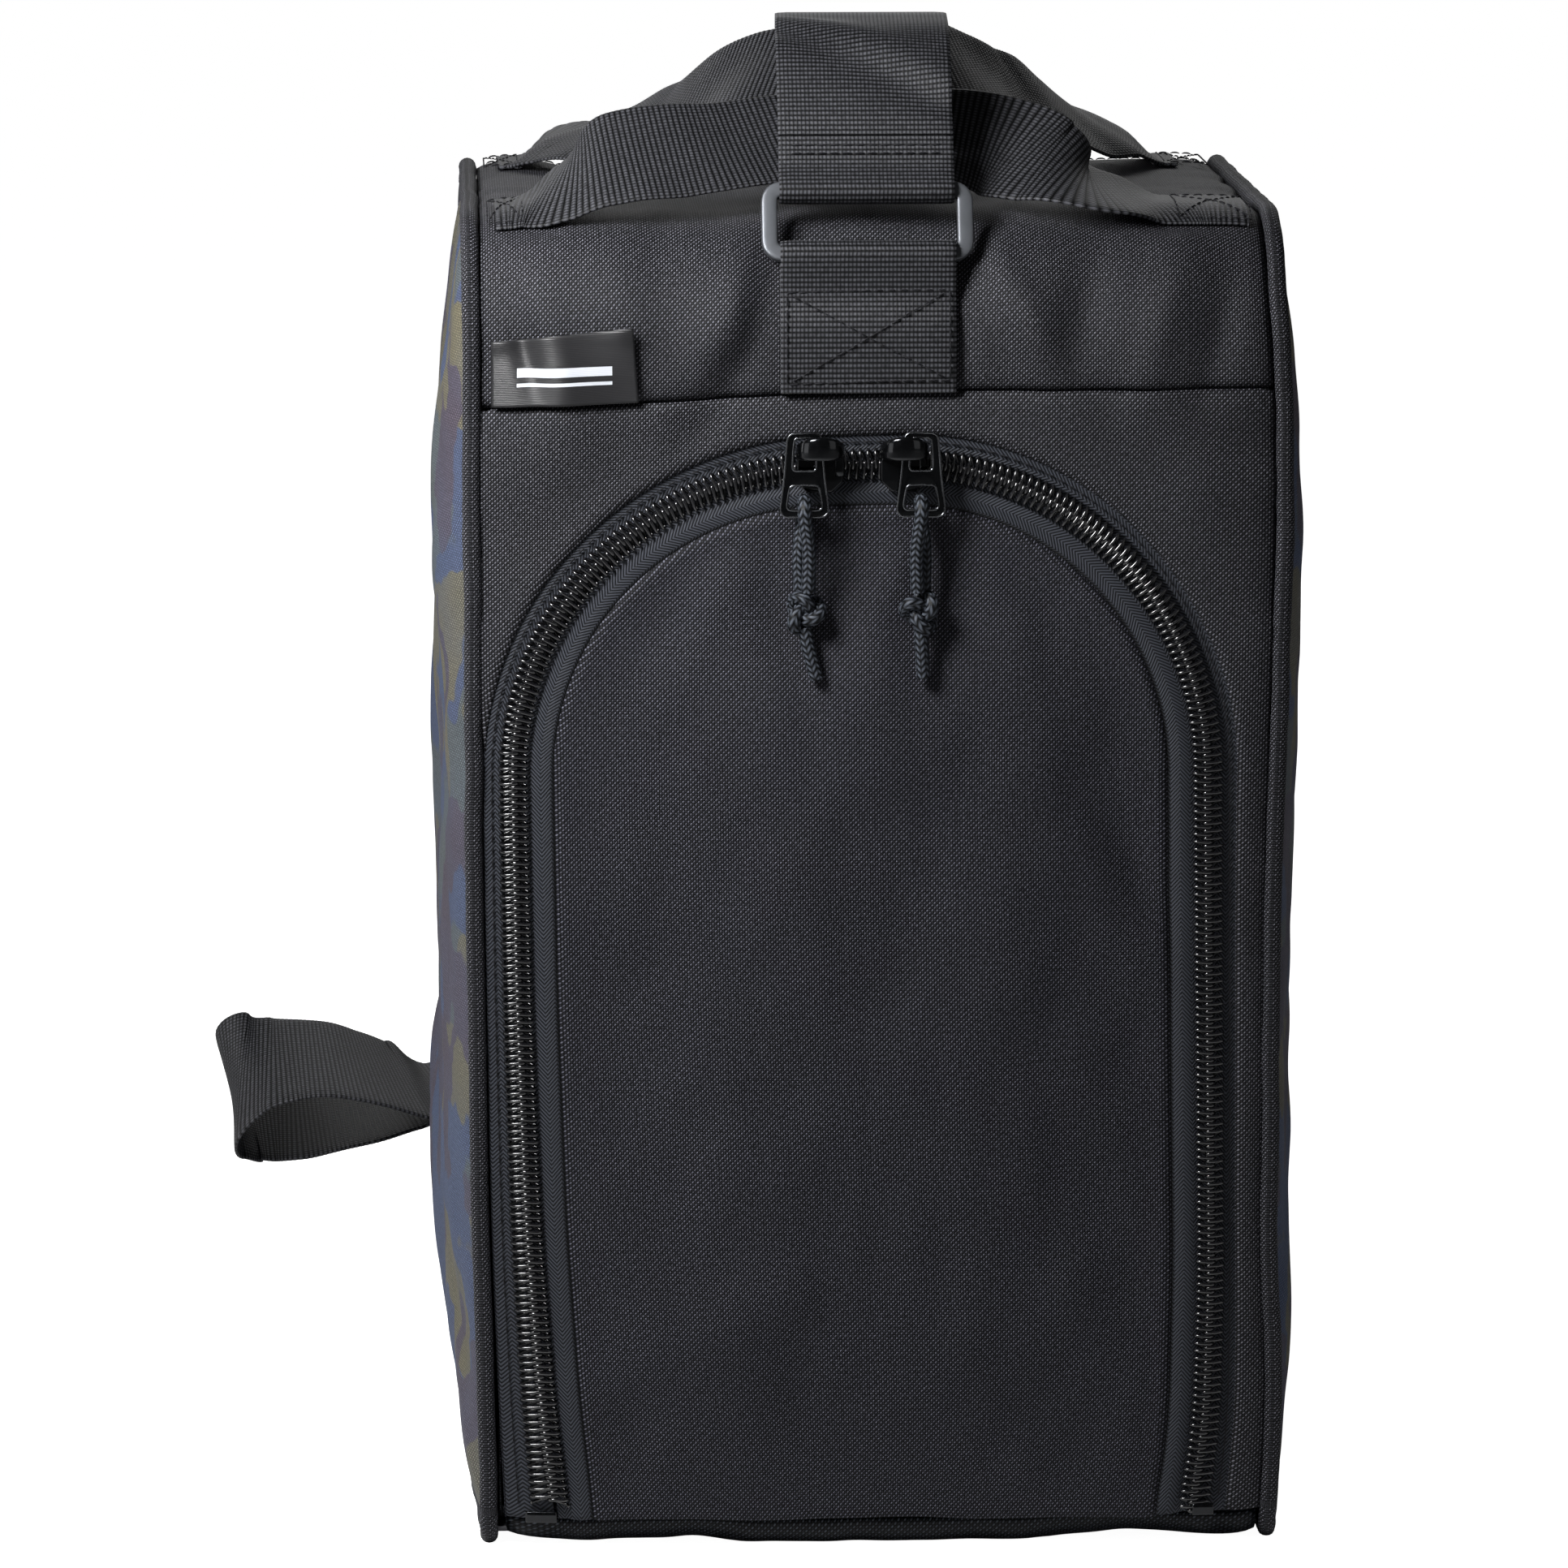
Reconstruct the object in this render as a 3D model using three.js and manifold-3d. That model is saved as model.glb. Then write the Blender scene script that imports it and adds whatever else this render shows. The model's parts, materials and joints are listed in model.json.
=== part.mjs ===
// A tall padded boot bag: a wide gusset that runs round the side outline, two pillowed side panels
// piped to it, an arched zip flap in the front, two webbing handles and a shoulder strap on two rings.
// Millimetres, +Z up, +X to the right seen from the front, the front faces -Y.
// The origin is the centre of the base's underside.
import * as THREE from 'three';
import { mergeVertices } from 'three/addons/utils/BufferGeometryUtils.js';
import Module from 'manifold-3d';

const wasm = await Module();
wasm.setup();

// ---- Driving dimensions ----
const WIDTH = 230; // between the cord centres of the two piped seams
const HEIGHT = 386;
const FRONT_Y = -170;
const TOP_BACK_Y = 55; // where the top would meet the sloping back
const BASE_BACK_Y = 170;
const PIPING_RADIUS = 2.6;
const GAP = 0.4; // clearance between neighbouring pieces
const CLOTH = 2; // coated cloth with its backing
const PADDING = 2.8;
const LINING = 0.8;
const BULGE = 9; // how far the side panels swell in the middle

const YOKE_Z = 335; // seam between the yoke and the front panel
const BASE_SEAM_Z = 8; // seam between the front, the flap, the back and the base
const TOP_SEAM_Y = 30; // seam between the top and the back

const ZIP_X = -4; // the zip's centre is a little left of the bag's
const ZIP_HALF_WIDTH = 99.5;
const ZIP_CORNER_RADIUS = 87.5;
const ZIP_TOP = 315;
const COIL_WIDTH = 4.8; // one half of the chain
const COIL_HEIGHT = 3.7;
const ZIP_SPLIT = 0.2; // from the chain's middle to each coil
const OUTER_TAPE = 9.2; // how far each tape reaches from the chain's middle
const INNER_TAPE = 11.7;
const TAPE_DEPTH = 0.6;
const TAPE = 1;

const WEBBING_WIDE = 50;
const WEBBING_NARROW = 38;
const WEBBING = 1.4;
const STRAP_X = -2;
const RING_WIDTH = 55.8; // between bar centres
const RING_HEIGHT = 19.3;
const RING_BAR = 2.35; // bar radius
const FRONT_RING_LEAN = 25;

const SLIDER_LENGTH = 13;
const PULLER_HANG = 5; // the crown's leg above the chain's middle
const PULLER_Y = FRONT_Y - 9.5;
const PULLER_X = 4.6; // from the slider's middle to the crown's leg
const CORD_RADIUS = 1.9;
const KNOT_DROP = 45; // knot centre below the crown's leg

const ARC_STEPS = 4;
const X_AXIS = new THREE.Vector3(1, 0, 0);
const Y_AXIS = new THREE.Vector3(0, 1, 0);
const Z_AXIS = new THREE.Vector3(0, 0, 1);

// ---- Materials ----
function shade(color, roughness, metalness = 0) {
  return new THREE.MeshStandardMaterial({ color, roughness, metalness });
}

const blackCloth = () => shade(0x1d1e22, 0.85);
const flapCloth = () => shade(0x202329, 0.85);
const camoCloth = () => shade(0x4d5348, 0.9);
const blackWebbing = () => shade(0x26272b, 0.8);
const blackCoil = () => shade(0x0d0d0f, 0.35);
const blackTape = () => shade(0x17181c, 0.9);
const greyFoam = () => shade(0x6b6d70, 1);
const gunmetal = () => shade(0x4a4d52, 0.35, 1);
const blackMetal = () => shade(0x141518, 0.25, 1);
const baseSheet = () => shade(0x15161a, 0.6);
const paracord = () => shade(0x1f2226, 0.85);

// ---- Geometry helpers ----
const radians = THREE.MathUtils.degToRad;

// Turns the triangles round if the mesh is inside out.
function facingOut(geometry) {
  const source = geometry.clone();
  source.deleteAttribute('normal');
  source.deleteAttribute('uv');
  const merged = mergeVertices(source, 1e-4);
  const [a, b, c] = [new THREE.Vector3(), new THREE.Vector3(), new THREE.Vector3()];
  const { position } = merged.attributes;
  const index = merged.index.array;
  let volume = 0;
  for (let i = 0; i < index.length; i += 3) {
    a.fromBufferAttribute(position, index[i]);
    b.fromBufferAttribute(position, index[i + 1]);
    c.fromBufferAttribute(position, index[i + 2]);
    volume += a.dot(b.cross(c));
  }
  if (volume < 0) index.reverse();
  return merged;
}

// A closed geometry as a solid that can be cut and joined.
function solid(geometry) {
  const merged = facingOut(geometry);
  const vertProperties = Float32Array.from(merged.attributes.position.array);
  const triVerts = Uint32Array.from(merged.index.array);
  return new wasm.Manifold(new wasm.Mesh({ numProp: 3, vertProperties, triVerts }));
}

function geometryOf(manifold) {
  const { vertProperties, triVerts } = manifold.getMesh();
  const geometry = new THREE.BufferGeometry();
  geometry.setAttribute('position', new THREE.BufferAttribute(vertProperties, 3));
  geometry.setIndex(new THREE.BufferAttribute(triVerts, 1));
  geometry.computeVertexNormals();
  return geometry;
}

function extrude(shape, depth) {
  return new THREE.ExtrudeGeometry(shape, { depth, bevelEnabled: false, curveSegments: ARC_STEPS });
}

// A side-view outline (y, z) carried across the bag from x0 to x1.
function acrossBag(shape, x0, x1) {
  const geometry = extrude(shape, x1 - x0);
  geometry.applyMatrix4(new THREE.Matrix4().makeBasis(Y_AXIS, Z_AXIS, X_AXIS));
  return solid(geometry.translate(x0, 0, 0));
}

// A front-view outline (x, z) carried through the bag from y0 to y1.
function throughBag(shape, y0, y1) {
  const geometry = extrude(shape, y1 - y0);
  geometry.applyMatrix4(new THREE.Matrix4().makeBasis(X_AXIS, Z_AXIS, Y_AXIS.clone().negate()));
  return solid(geometry.translate(0, y1, 0));
}

function block(low, high) {
  const size = high.map((value, i) => value - low[i]);
  const centre = high.map((value, i) => (value + low[i]) / 2);
  return new THREE.BoxGeometry(...size).translate(...centre);
}

function piece(name, shape, material) {
  const geometry = shape.isBufferGeometry ? facingOut(shape) : geometryOf(shape);
  const mesh = new THREE.Mesh(geometry, material);
  mesh.name = name;
  return mesh;
}

// ---- Side outline ----
const OUTLINE = [
  { y: FRONT_Y, z: 0, radius: 12 },
  { y: BASE_BACK_Y, z: 0, radius: 40 },
  { y: TOP_BACK_Y, z: HEIGHT, radius: 40 },
  { y: FRONT_Y, z: HEIGHT, radius: 35 },
];

// The rounded side outline, moved inwards by inset.
function outline(inset) {
  const shape = new THREE.Shape();
  const corners = OUTLINE.map(({ y, z }) => new THREE.Vector2(y, z));
  corners.forEach((corner, i) => {
    const before = corners[(i + corners.length - 1) % corners.length];
    const after = corners[(i + 1) % corners.length];
    const arriving = corner.clone().sub(before).normalize();
    const leaving = after.clone().sub(corner).normalize();
    const normalIn = new THREE.Vector2(arriving.y, -arriving.x);
    const normalOut = new THREE.Vector2(leaving.y, -leaving.x);
    const { radius } = OUTLINE[i];
    const reach = radius / (1 + normalIn.dot(normalOut));
    const centre = corner.clone().addScaledVector(normalIn, -reach).addScaledVector(normalOut, -reach);
    shape.absarc(centre.x, centre.y, radius - inset, normalIn.angle(), normalOut.angle(), false);
  });
  shape.closePath();
  return shape;
}

function outlinePoints(inset) {
  const points = outline(inset).getPoints(ARC_STEPS);
  const [first, last] = [points[0], points[points.length - 1]];
  if (first.distanceTo(last) < 1e-6) points.pop();
  return points;
}

const GUSSET_HALF = WIDTH / 2 - PIPING_RADIUS - 0.3;

// The layer of the gusset between two depths below its outer surface.
function gussetLayer(outer, inner, half = GUSSET_HALF) {
  return acrossBag(outline(outer), -half, half).subtract(acrossBag(outline(inner), -half - 1, half + 1));
}

const FAR = 500;
const above = (z) => solid(block([-FAR, -FAR, z], [FAR, FAR, FAR]));
const below = (z) => solid(block([-FAR, -FAR, -FAR], [FAR, FAR, z]));
const behind = (y) => solid(block([-FAR, y, -FAR], [FAR, FAR, FAR]));
const before = (y) => solid(block([-FAR, -FAR, -FAR], [FAR, y, FAR]));

// ---- Zip arch ----
// The arch's outline grown by reach from the chain's middle, from zLow up.
function arch(reach, zLow = BASE_SEAM_Z) {
  const flat = ZIP_HALF_WIDTH - ZIP_CORNER_RADIUS;
  const spring = ZIP_TOP - ZIP_CORNER_RADIUS;
  const half = ZIP_HALF_WIDTH + reach;
  const shape = new THREE.Shape();
  shape.moveTo(ZIP_X - half, zLow);
  shape.lineTo(ZIP_X + half, zLow);
  shape.absarc(ZIP_X + flat, spring, ZIP_CORNER_RADIUS + reach, 0, Math.PI / 2, false);
  shape.absarc(ZIP_X - flat, spring, ZIP_CORNER_RADIUS + reach, Math.PI / 2, Math.PI, false);
  shape.closePath();
  return shape;
}

// The strip between two reaches from the chain's middle, from y0 to y1.
function archStrip(inner, outer, y0, y1, zLow) {
  return throughBag(arch(outer, zLow), y0, y1).subtract(throughBag(arch(inner, zLow - 5), y0 - 1, y1 + 1));
}

// ---- Cloth shell ----
function frontPanel() {
  const sheet = gussetLayer(0, CLOTH).intersect(before(FRONT_Y + 60));
  const band = sheet.intersect(above(BASE_SEAM_Z + GAP / 2)).intersect(below(YOKE_Z - GAP / 2));
  return band.subtract(throughBag(arch(OUTER_TAPE + 0.3, 0), FRONT_Y - 20, FRONT_Y + 20));
}

function topPanel() {
  return gussetLayer(0, CLOTH).intersect(above(YOKE_Z + GAP / 2)).intersect(before(TOP_SEAM_Y - GAP / 2));
}

function backPanel() {
  const sheet = gussetLayer(0, CLOTH).intersect(behind(TOP_SEAM_Y + GAP / 2));
  return sheet.intersect(above(BASE_SEAM_Z + GAP / 2));
}

function basePanel() {
  return gussetLayer(0, CLOTH).intersect(below(BASE_SEAM_Z - GAP / 2));
}

const BOARD_TOP = CLOTH + GAP + PADDING;

function baseBoard() {
  return acrossBag(outline(CLOTH + GAP), -GUSSET_HALF, GUSSET_HALF).intersect(below(BOARD_TOP));
}

function backFoam() {
  const layer = gussetLayer(CLOTH + GAP, CLOTH + GAP + PADDING);
  return layer.intersect(behind(TOP_SEAM_Y)).intersect(above(BASE_SEAM_Z + 12));
}

// One lining bag inside everything, open where the flap is.
function liningBag() {
  const depth = CLOTH + PADDING + 2 * GAP;
  const half = GUSSET_HALF - 0.9;
  const outer = acrossBag(outline(depth), -half, half);
  const inner = acrossBag(outline(depth + LINING), -half + LINING, half - LINING);
  const mouth = throughBag(arch(OUTER_TAPE - 4, 12), FRONT_Y - 5, FRONT_Y + 20);
  return outer.subtract(inner).subtract(mouth);
}

// ---- Pillowed side panels ----
const SIDE_CENTRE = new THREE.Vector2(-20, 180);
const SIDE_RINGS = [0, 0.4, 0.7, 0.88, 1];

// A closed sheet that fills the side outline; out and back give x for a share of the way to the edge.
function sideSheet(inset, side, out, back) {
  const rim = outlinePoints(inset);
  const outside = SIDE_RINGS.map((share) => new THREE.Vector2(share, out(share)));
  const inside = SIDE_RINGS.map((share) => new THREE.Vector2(share, back(share))).reverse();
  const profile = [...outside, ...inside];
  const geometry = new THREE.LatheGeometry(profile, rim.length);
  const { position } = geometry.attributes;
  for (let i = 0; i < position.count; i += 1) {
    const { x: share, y: x } = profile[i % profile.length];
    const edge = rim[Math.floor(i / profile.length) % rim.length];
    const point = SIDE_CENTRE.clone().lerp(edge, share);
    position.setXYZ(i, side * x, point.x, point.y);
  }
  return geometry;
}

const pillow = (share) => BULGE * (1 - share ** 2.2);
const PANEL_IN = WIDTH / 2 - 1.5;

function sidePanel(side) {
  return sideSheet(4.6, side, (r) => PANEL_IN + 3 + pillow(r), (r) => PANEL_IN + 0.93 * pillow(r));
}

function sideFoam(side) {
  return sideSheet(7, side, (r) => PANEL_IN - GAP + 0.93 * pillow(r), () => GUSSET_HALF - 0.4);
}

// ---- Round bars bent into closed loops ----
// The loop lies in its own (x, y) plane; the bar is round with the given radius.
function loopBar(points, radius, sides) {
  const count = points.length;
  const geometry = new THREE.TorusGeometry(2, 1, sides, count);
  const { position } = geometry.attributes;
  for (let i = 0; i < position.count; i += 1) {
    const at = (i % (count + 1)) % count;
    const turn = (2 * Math.PI * Math.floor(i / (count + 1))) / sides;
    const edge = points[(at + 1) % count].clone().sub(points[(at + count - 1) % count]).normalize();
    const normal = new THREE.Vector2(edge.y, -edge.x);
    const point = points[at].clone().addScaledVector(normal, radius * Math.cos(turn));
    position.setXYZ(i, point.x, point.y, radius * Math.sin(turn));
  }
  return geometry;
}

function piping(side) {
  const geometry = loopBar(outlinePoints(1.4), PIPING_RADIUS, 8);
  geometry.applyMatrix4(new THREE.Matrix4().makeBasis(Y_AXIS, Z_AXIS, X_AXIS));
  return geometry.translate((side * WIDTH) / 2, 0, 0);
}

// ---- Webbing ----
// A strip of webbing along a route of stations { at, across }; across is the direction of its width.
function webbing(stations, width, steps) {
  const line = new THREE.CatmullRomCurve3(stations.map(({ at }) => at), false, 'centripetal');
  const geometry = new THREE.BoxGeometry(1, 1, 1, steps, 1, 1);
  const { position } = geometry.attributes;
  const facing = (t) => {
    const scaled = t * (stations.length - 1);
    const i = Math.min(Math.floor(scaled), stations.length - 2);
    return stations[i].across.clone().lerp(stations[i + 1].across, scaled - i);
  };
  for (let i = 0; i < position.count; i += 1) {
    const t = position.getX(i) + 0.5;
    const along = line.getTangent(t);
    const across = facing(t);
    across.addScaledVector(along, -across.dot(along)).normalize();
    const face = along.clone().cross(across);
    const point = line.getPoint(t);
    point.addScaledVector(across, position.getY(i) * width);
    point.addScaledVector(face, position.getZ(i) * WEBBING);
    position.setXYZ(i, point.x, point.y, point.z);
  }
  return geometry;
}

// Webbing whose route stays in one side-view plane at x.
function foldedWebbing(route, x, width, steps) {
  const stations = route.map(([y, z]) => ({ at: new THREE.Vector3(x, y, z), across: X_AXIS }));
  return webbing(stations, width, steps);
}

// Front surface from the tab's foot upwards: s along it, off above it.
const FRONT_CORNER = OUTLINE[3];
const TAB_FOOT_Z = YOKE_Z + 2;

function frontSurface(s, off) {
  const { radius } = FRONT_CORNER;
  const straight = HEIGHT - radius - TAB_FOOT_Z;
  const centreY = FRONT_Y + radius;
  if (s < straight) return [FRONT_Y - off, TAB_FOOT_Z + s];
  const turn = (s - straight) / radius;
  const reach = radius + off;
  return [centreY - reach * Math.cos(turn), HEIGHT - radius + reach * Math.sin(turn)];
}

// Back surface from the top back corner downwards.
const SLOPE = new THREE.Vector2(BASE_BACK_Y - TOP_BACK_Y, -HEIGHT).normalize();

function backSurface(s, off) {
  return [TOP_BACK_Y + SLOPE.x * s - SLOPE.y * off, HEIGHT + SLOPE.y * s + SLOPE.x * off];
}

const LAYER_IN = 1.05; // centre of a sewn layer above the cloth
const LAYER_OUT = LAYER_IN + WEBBING + 0.3;
const BAR_LOOP = RING_BAR + GAP + WEBBING / 2;

// A tab sewn to the surface from s = start, folded round a ring's bar at s = bar.
function tabRoute(surface, start, bar, barOff) {
  const [y, z] = surface(bar, barOff);
  const [aheadY, aheadZ] = surface(bar + 0.1, barOff);
  const along = new THREE.Vector2(aheadY - y, aheadZ - z).normalize();
  const [outY, outZ] = surface(bar, barOff + 0.1);
  const out = new THREE.Vector2(outY - y, outZ - z).normalize();
  const round = [-20, 20, 60, 100, 140, 180, 205].map((degrees) => {
    const [c, s] = [Math.cos(radians(degrees)) * BAR_LOOP, Math.sin(radians(degrees)) * BAR_LOOP];
    return [y + out.x * c + along.x * s, z + out.y * c + along.y * s];
  });
  const flat = [0, 0.35, 0.7, 1].map((share) => start + (bar - 10 - start) * share);
  const outer = flat.map((s) => surface(s, LAYER_OUT));
  const inner = flat.reverse().map((s) => surface(s, LAYER_IN));
  return [...outer, ...round, ...inner];
}

// A strap end folded round the far bar of a ring, in the ring's own frame:
// the near bar is at the origin and the far bar above it.
const STRAP_END = RING_HEIGHT + 16;

function strapEndRoute() {
  const half = (WEBBING + 0.3) / 2;
  const round = [200, 235, 270, 305, 340].map((degrees) => [
    BAR_LOOP * Math.cos(radians(degrees)),
    RING_HEIGHT + BAR_LOOP * Math.sin(radians(degrees)),
  ]);
  const rise = [STRAP_END, STRAP_END - 5, STRAP_END - 9];
  const left = rise.map((z) => [-half, z]);
  const right = [...rise].reverse().map((z) => [half, z]);
  return [...left, ...round, ...right];
}

function roundedRectangle(width, height, radius) {
  const shape = new THREE.Shape();
  const [x, y] = [width / 2 - radius, height / 2 - radius];
  shape.absarc(x, -y, radius, -Math.PI / 2, 0, false);
  shape.absarc(x, y, radius, 0, Math.PI / 2, false);
  shape.absarc(-x, y, radius, Math.PI / 2, Math.PI, false);
  shape.absarc(-x, -y, radius, Math.PI, 1.5 * Math.PI, false);
  shape.closePath();
  return shape;
}

function ring() {
  const points = roundedRectangle(RING_WIDTH, RING_HEIGHT, 3).getPoints(2);
  points.pop();
  const geometry = loopBar(points, RING_BAR, 8);
  return geometry.rotateX(Math.PI / 2).translate(0, 0, RING_HEIGHT / 2);
}

// Ring and strap end in one frame whose origin is on the bar that the tab holds.
function ringGroup(end, [y, z], lean) {
  const group = new THREE.Group();
  group.position.set(STRAP_X, y, z);
  group.rotation.x = radians(lean);
  group.add(piece(`${end}_ring`, ring(), gunmetal()));
  group.add(piece(`${end}_strap_end`, foldedWebbing(strapEndRoute(), 0, WEBBING_WIDE, 28), blackWebbing()));
  return group;
}

const FRONT_BAR = { s: 37, off: 6 };
const BACK_BAR = { s: 60, off: 6 };
const BACK_TAB_START = 22;
const frontPivot = frontSurface(FRONT_BAR.s, FRONT_BAR.off);
const backPivot = backSurface(BACK_BAR.s, BACK_BAR.off);
const BACK_RING_LEAN = 180 + THREE.MathUtils.radToDeg(Math.asin(SLOPE.x));

// ---- Shoulder strap ----
// From the front ring over both handles, down behind the bag, round a bight at the left and up
// to the back ring.
function strapStations() {
  const up = (lean) => new THREE.Vector2(-Math.sin(radians(lean)), Math.cos(radians(lean)));
  const frontUp = up(-FRONT_RING_LEAN);
  const backUp = up(BACK_RING_LEAN);
  const beyond = ([y, z], direction, reach) => [y + direction.x * reach, z + direction.y * reach];
  const station = (x, [y, z], across) => ({
    at: new THREE.Vector3(x, y, z),
    across: new THREE.Vector3(...across).normalize(),
  });
  const level = [1, 0, 0];
  return [
    station(STRAP_X, beyond(frontPivot, frontUp, STRAP_END + 0.5), level),
    station(STRAP_X, beyond(frontPivot, frontUp, STRAP_END + 8), level),
    station(STRAP_X, [-133, 434.5], level),
    station(STRAP_X, [-108, 438.6], level),
    station(STRAP_X, [-70, 438], level),
    station(STRAP_X, [-30, 430], level),
    station(STRAP_X, [20, 421], level),
    station(2, [62, 405], level),
    station(6, backSurface(45, 30), level),
    station(8, backSurface(110, 28), level),
    station(4, backSurface(190, 24), level),
    station(-14, backSurface(258, 24), [1, 0.1, -0.5]),
    station(-50, backSurface(300, 24), [0.6, 0.16, -0.8]),
    station(-92, [188, 60], [0.1, -0.78, -0.62]),
    station(-112, [186, 58], [0.05, -0.95, -0.3]),
    station(-132, [185, 61], [0, -0.95, -0.3]),
    station(-158, [184, 65], [0.1, -0.8, -0.6]),
    station(-179, [181, 62], [0.18, -0.74, -0.65]),
    station(-193, [173, 68], [0.2, -0.75, -0.63]),
    station(-187, [163, 76], [0.16, -0.78, -0.6]),
    station(-171, [161, 79], [0, -0.88, -0.47]),
    station(-152, [163, 77], [0, -0.92, -0.4]),
    station(-132, [172, 71], [0, -0.95, -0.28]),
    station(-112, [181, 68], [0.05, -0.96, -0.22]),
    station(-92, [180, 70], [0.1, -0.8, -0.6]),
    station(-48, backSurface(306, 9), [0.6, 0.16, -0.8]),
    station(-14, backSurface(270, 7), [1, 0.1, -0.5]),
    station(-2, backSurface(200, 7), level),
    station(STRAP_X, backSurface(140, 7), level),
    station(STRAP_X, beyond(backPivot, backUp, STRAP_END + 8), level),
    station(STRAP_X, beyond(backPivot, backUp, STRAP_END + 0.5), level),
  ];
}

// ---- Handles ----
// A ribbon with both ends sewn to the top; each station is x, y, z and its tilt towards the front.
function handle(route) {
  const stations = route.map(([x, y, z, tilt]) => ({
    at: new THREE.Vector3(x, y, z),
    across: new THREE.Vector3(0, Math.cos(radians(tilt)), Math.sin(radians(tilt))),
  }));
  return webbing(stations, WEBBING_NARROW, 40);
}

const FRONT_HANDLE = [
  [-108, -133, 388, 7],
  [-102, -133, 388, 7],
  [-95, -134.5, 390.5, 12],
  [-86, -140, 394.5, 28],
  [-76, -144, 400.5, 40],
  [-50, -142, 404.5, 36],
  [-2, -132, 408, 33],
  [36, -134, 404.5, 44],
  [50, -141, 399, 38],
  [62, -144, 393.6, 20],
  [76, -139, 390, 10],
  [92, -134, 388.2, 7],
  [108, -134, 388, 7],
];

const BACK_HANDLE = [
  [-106, 11, 387.4, 0],
  [-100, 11, 387.5, 0],
  [-93, 9, 392.6, 0],
  [-82, -2, 398, 3],
  [-60, -36, 408.5, 12],
  [-30, -60, 418, 20],
  [-2, -68, 422, 23],
  [26, -62, 417.5, 20],
  [50, -44, 409.5, 14],
  [76, -6, 398.5, 3],
  [87, 9, 392.6, 0],
  [94, 11, 387.6, 0],
  [100, 11, 387.4, 0],
];

// ---- Zip pulls ----
// In the slider's own frame: origin on the cloth at the chain's middle, +X along the chain, +Z across it.
const SLIDER_HALF = COIL_WIDTH + ZIP_SPLIT + 0.7;
const PLATE_Y = -COIL_HEIGHT - 0.6;

const LIP_HALF = 3.4;
const CROWN = { outer: [6.6, 8.4], inner: [4.3, 6.6], width: 2.2 };
const CROWN_BASE_Y = PLATE_Y - 1.2;

// The front half of an ellipse that stands on the slider's plate, with the given width centred on z.
function halfEllipse([reach, rise], width, z) {
  const shape = new THREE.Shape();
  shape.absellipse(0, 0, reach, rise, Math.PI, 2 * Math.PI, false);
  shape.closePath();
  return solid(extrude(shape, width).translate(0, CROWN_BASE_Y, z - width / 2));
}

function sliderBody() {
  const plate = new THREE.Shape();
  const [length, half] = [SLIDER_LENGTH / 2, SLIDER_HALF + 0.8];
  plate.moveTo(-length, -half + 2);
  plate.lineTo(-length + 3, -half);
  plate.lineTo(length - 3, -half);
  plate.lineTo(length, -half + 2);
  plate.lineTo(length, half - 2);
  plate.lineTo(length - 3, half);
  plate.lineTo(-length + 3, half);
  plate.lineTo(-length, half - 2);
  let body = throughBag(plate, PLATE_Y - 1.4, PLATE_Y);
  for (const side of [-1, 1]) {
    const middle = side * (SLIDER_HALF + 0.4);
    const lip = block([-LIP_HALF, PLATE_Y - 0.5, middle - 0.4], [LIP_HALF, -0.4, middle + 0.4]);
    body = body.add(solid(lip));
  }
  const bridge = halfEllipse(CROWN.outer, CROWN.width, PULLER_HANG);
  const bore = halfEllipse(CROWN.inner, CROWN.width + 1.8, PULLER_HANG);
  return body.add(bridge.subtract(bore));
}

function trapezoid(Path, topHalf, bottomHalf, top, bottom, radius) {
  const path = new Path();
  path.moveTo(-bottomHalf + radius, bottom);
  path.lineTo(bottomHalf - radius, bottom);
  path.lineTo(bottomHalf, bottom + radius);
  path.lineTo(topHalf, top - radius);
  path.lineTo(topHalf - radius, top);
  path.lineTo(-topHalf + radius, top);
  path.lineTo(-topHalf, top - radius);
  path.lineTo(-bottomHalf, bottom + radius);
  path.closePath();
  return path;
}

// The puller hangs from its origin, the crown's leg.
const PULLER_BOTTOM = -20;
const PULLER_RIM = 2.2;
const PULLER_BAR_Z = PULLER_BOTTOM + PULLER_RIM / 2;
const PULLER_HALF_THICKNESS = 0.8;

function puller() {
  const plate = trapezoid(THREE.Shape, 4.6, 7, 4.2, PULLER_BOTTOM, 2);
  plate.holes.push(trapezoid(THREE.Path, 2.6, 3.2, 2.4, -6.5, 1));
  plate.holes.push(trapezoid(THREE.Path, 3.9, 4.9, -11, PULLER_BOTTOM + PULLER_RIM, 1.5));
  return throughBag(plate, -PULLER_HALF_THICKNESS, PULLER_HALF_THICKNESS);
}

const KNOT_RADIUS = 5.4;
const KNOT_GAP = KNOT_RADIUS + GAP;
const TAIL = 14;

// A hairpin of cord round the puller's lower bar, down to the knot.
function cordLoop() {
  const reach = CORD_RADIUS + 1.7;
  const low = -KNOT_DROP + KNOT_GAP;
  const spread = CORD_RADIUS + 0.35;
  const round = [180, 150, 120, 90, 60, 30, 0].map((degrees) => [
    reach * Math.cos(radians(degrees)),
    PULLER_BAR_Z + reach * Math.sin(radians(degrees)),
  ]);
  const route = [[-spread, low], [-spread - 0.5, (low + PULLER_BAR_Z) / 2], ...round];
  route.push([spread + 0.5, (low + PULLER_BAR_Z) / 2], [spread, low]);
  const path = new THREE.CatmullRomCurve3(route.map(([y, z]) => new THREE.Vector3(0, y, z)));
  return tube(path, 22);
}

function tube(path, steps) {
  const section = new THREE.Shape();
  section.absarc(0, 0, CORD_RADIUS, 0, 2 * Math.PI, false);
  return new THREE.ExtrudeGeometry(section, { extrudePath: path, steps, curveSegments: 4 });
}

function knot() {
  return new THREE.SphereGeometry(KNOT_RADIUS, 10, 8).translate(0, 0, -KNOT_DROP);
}

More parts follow.
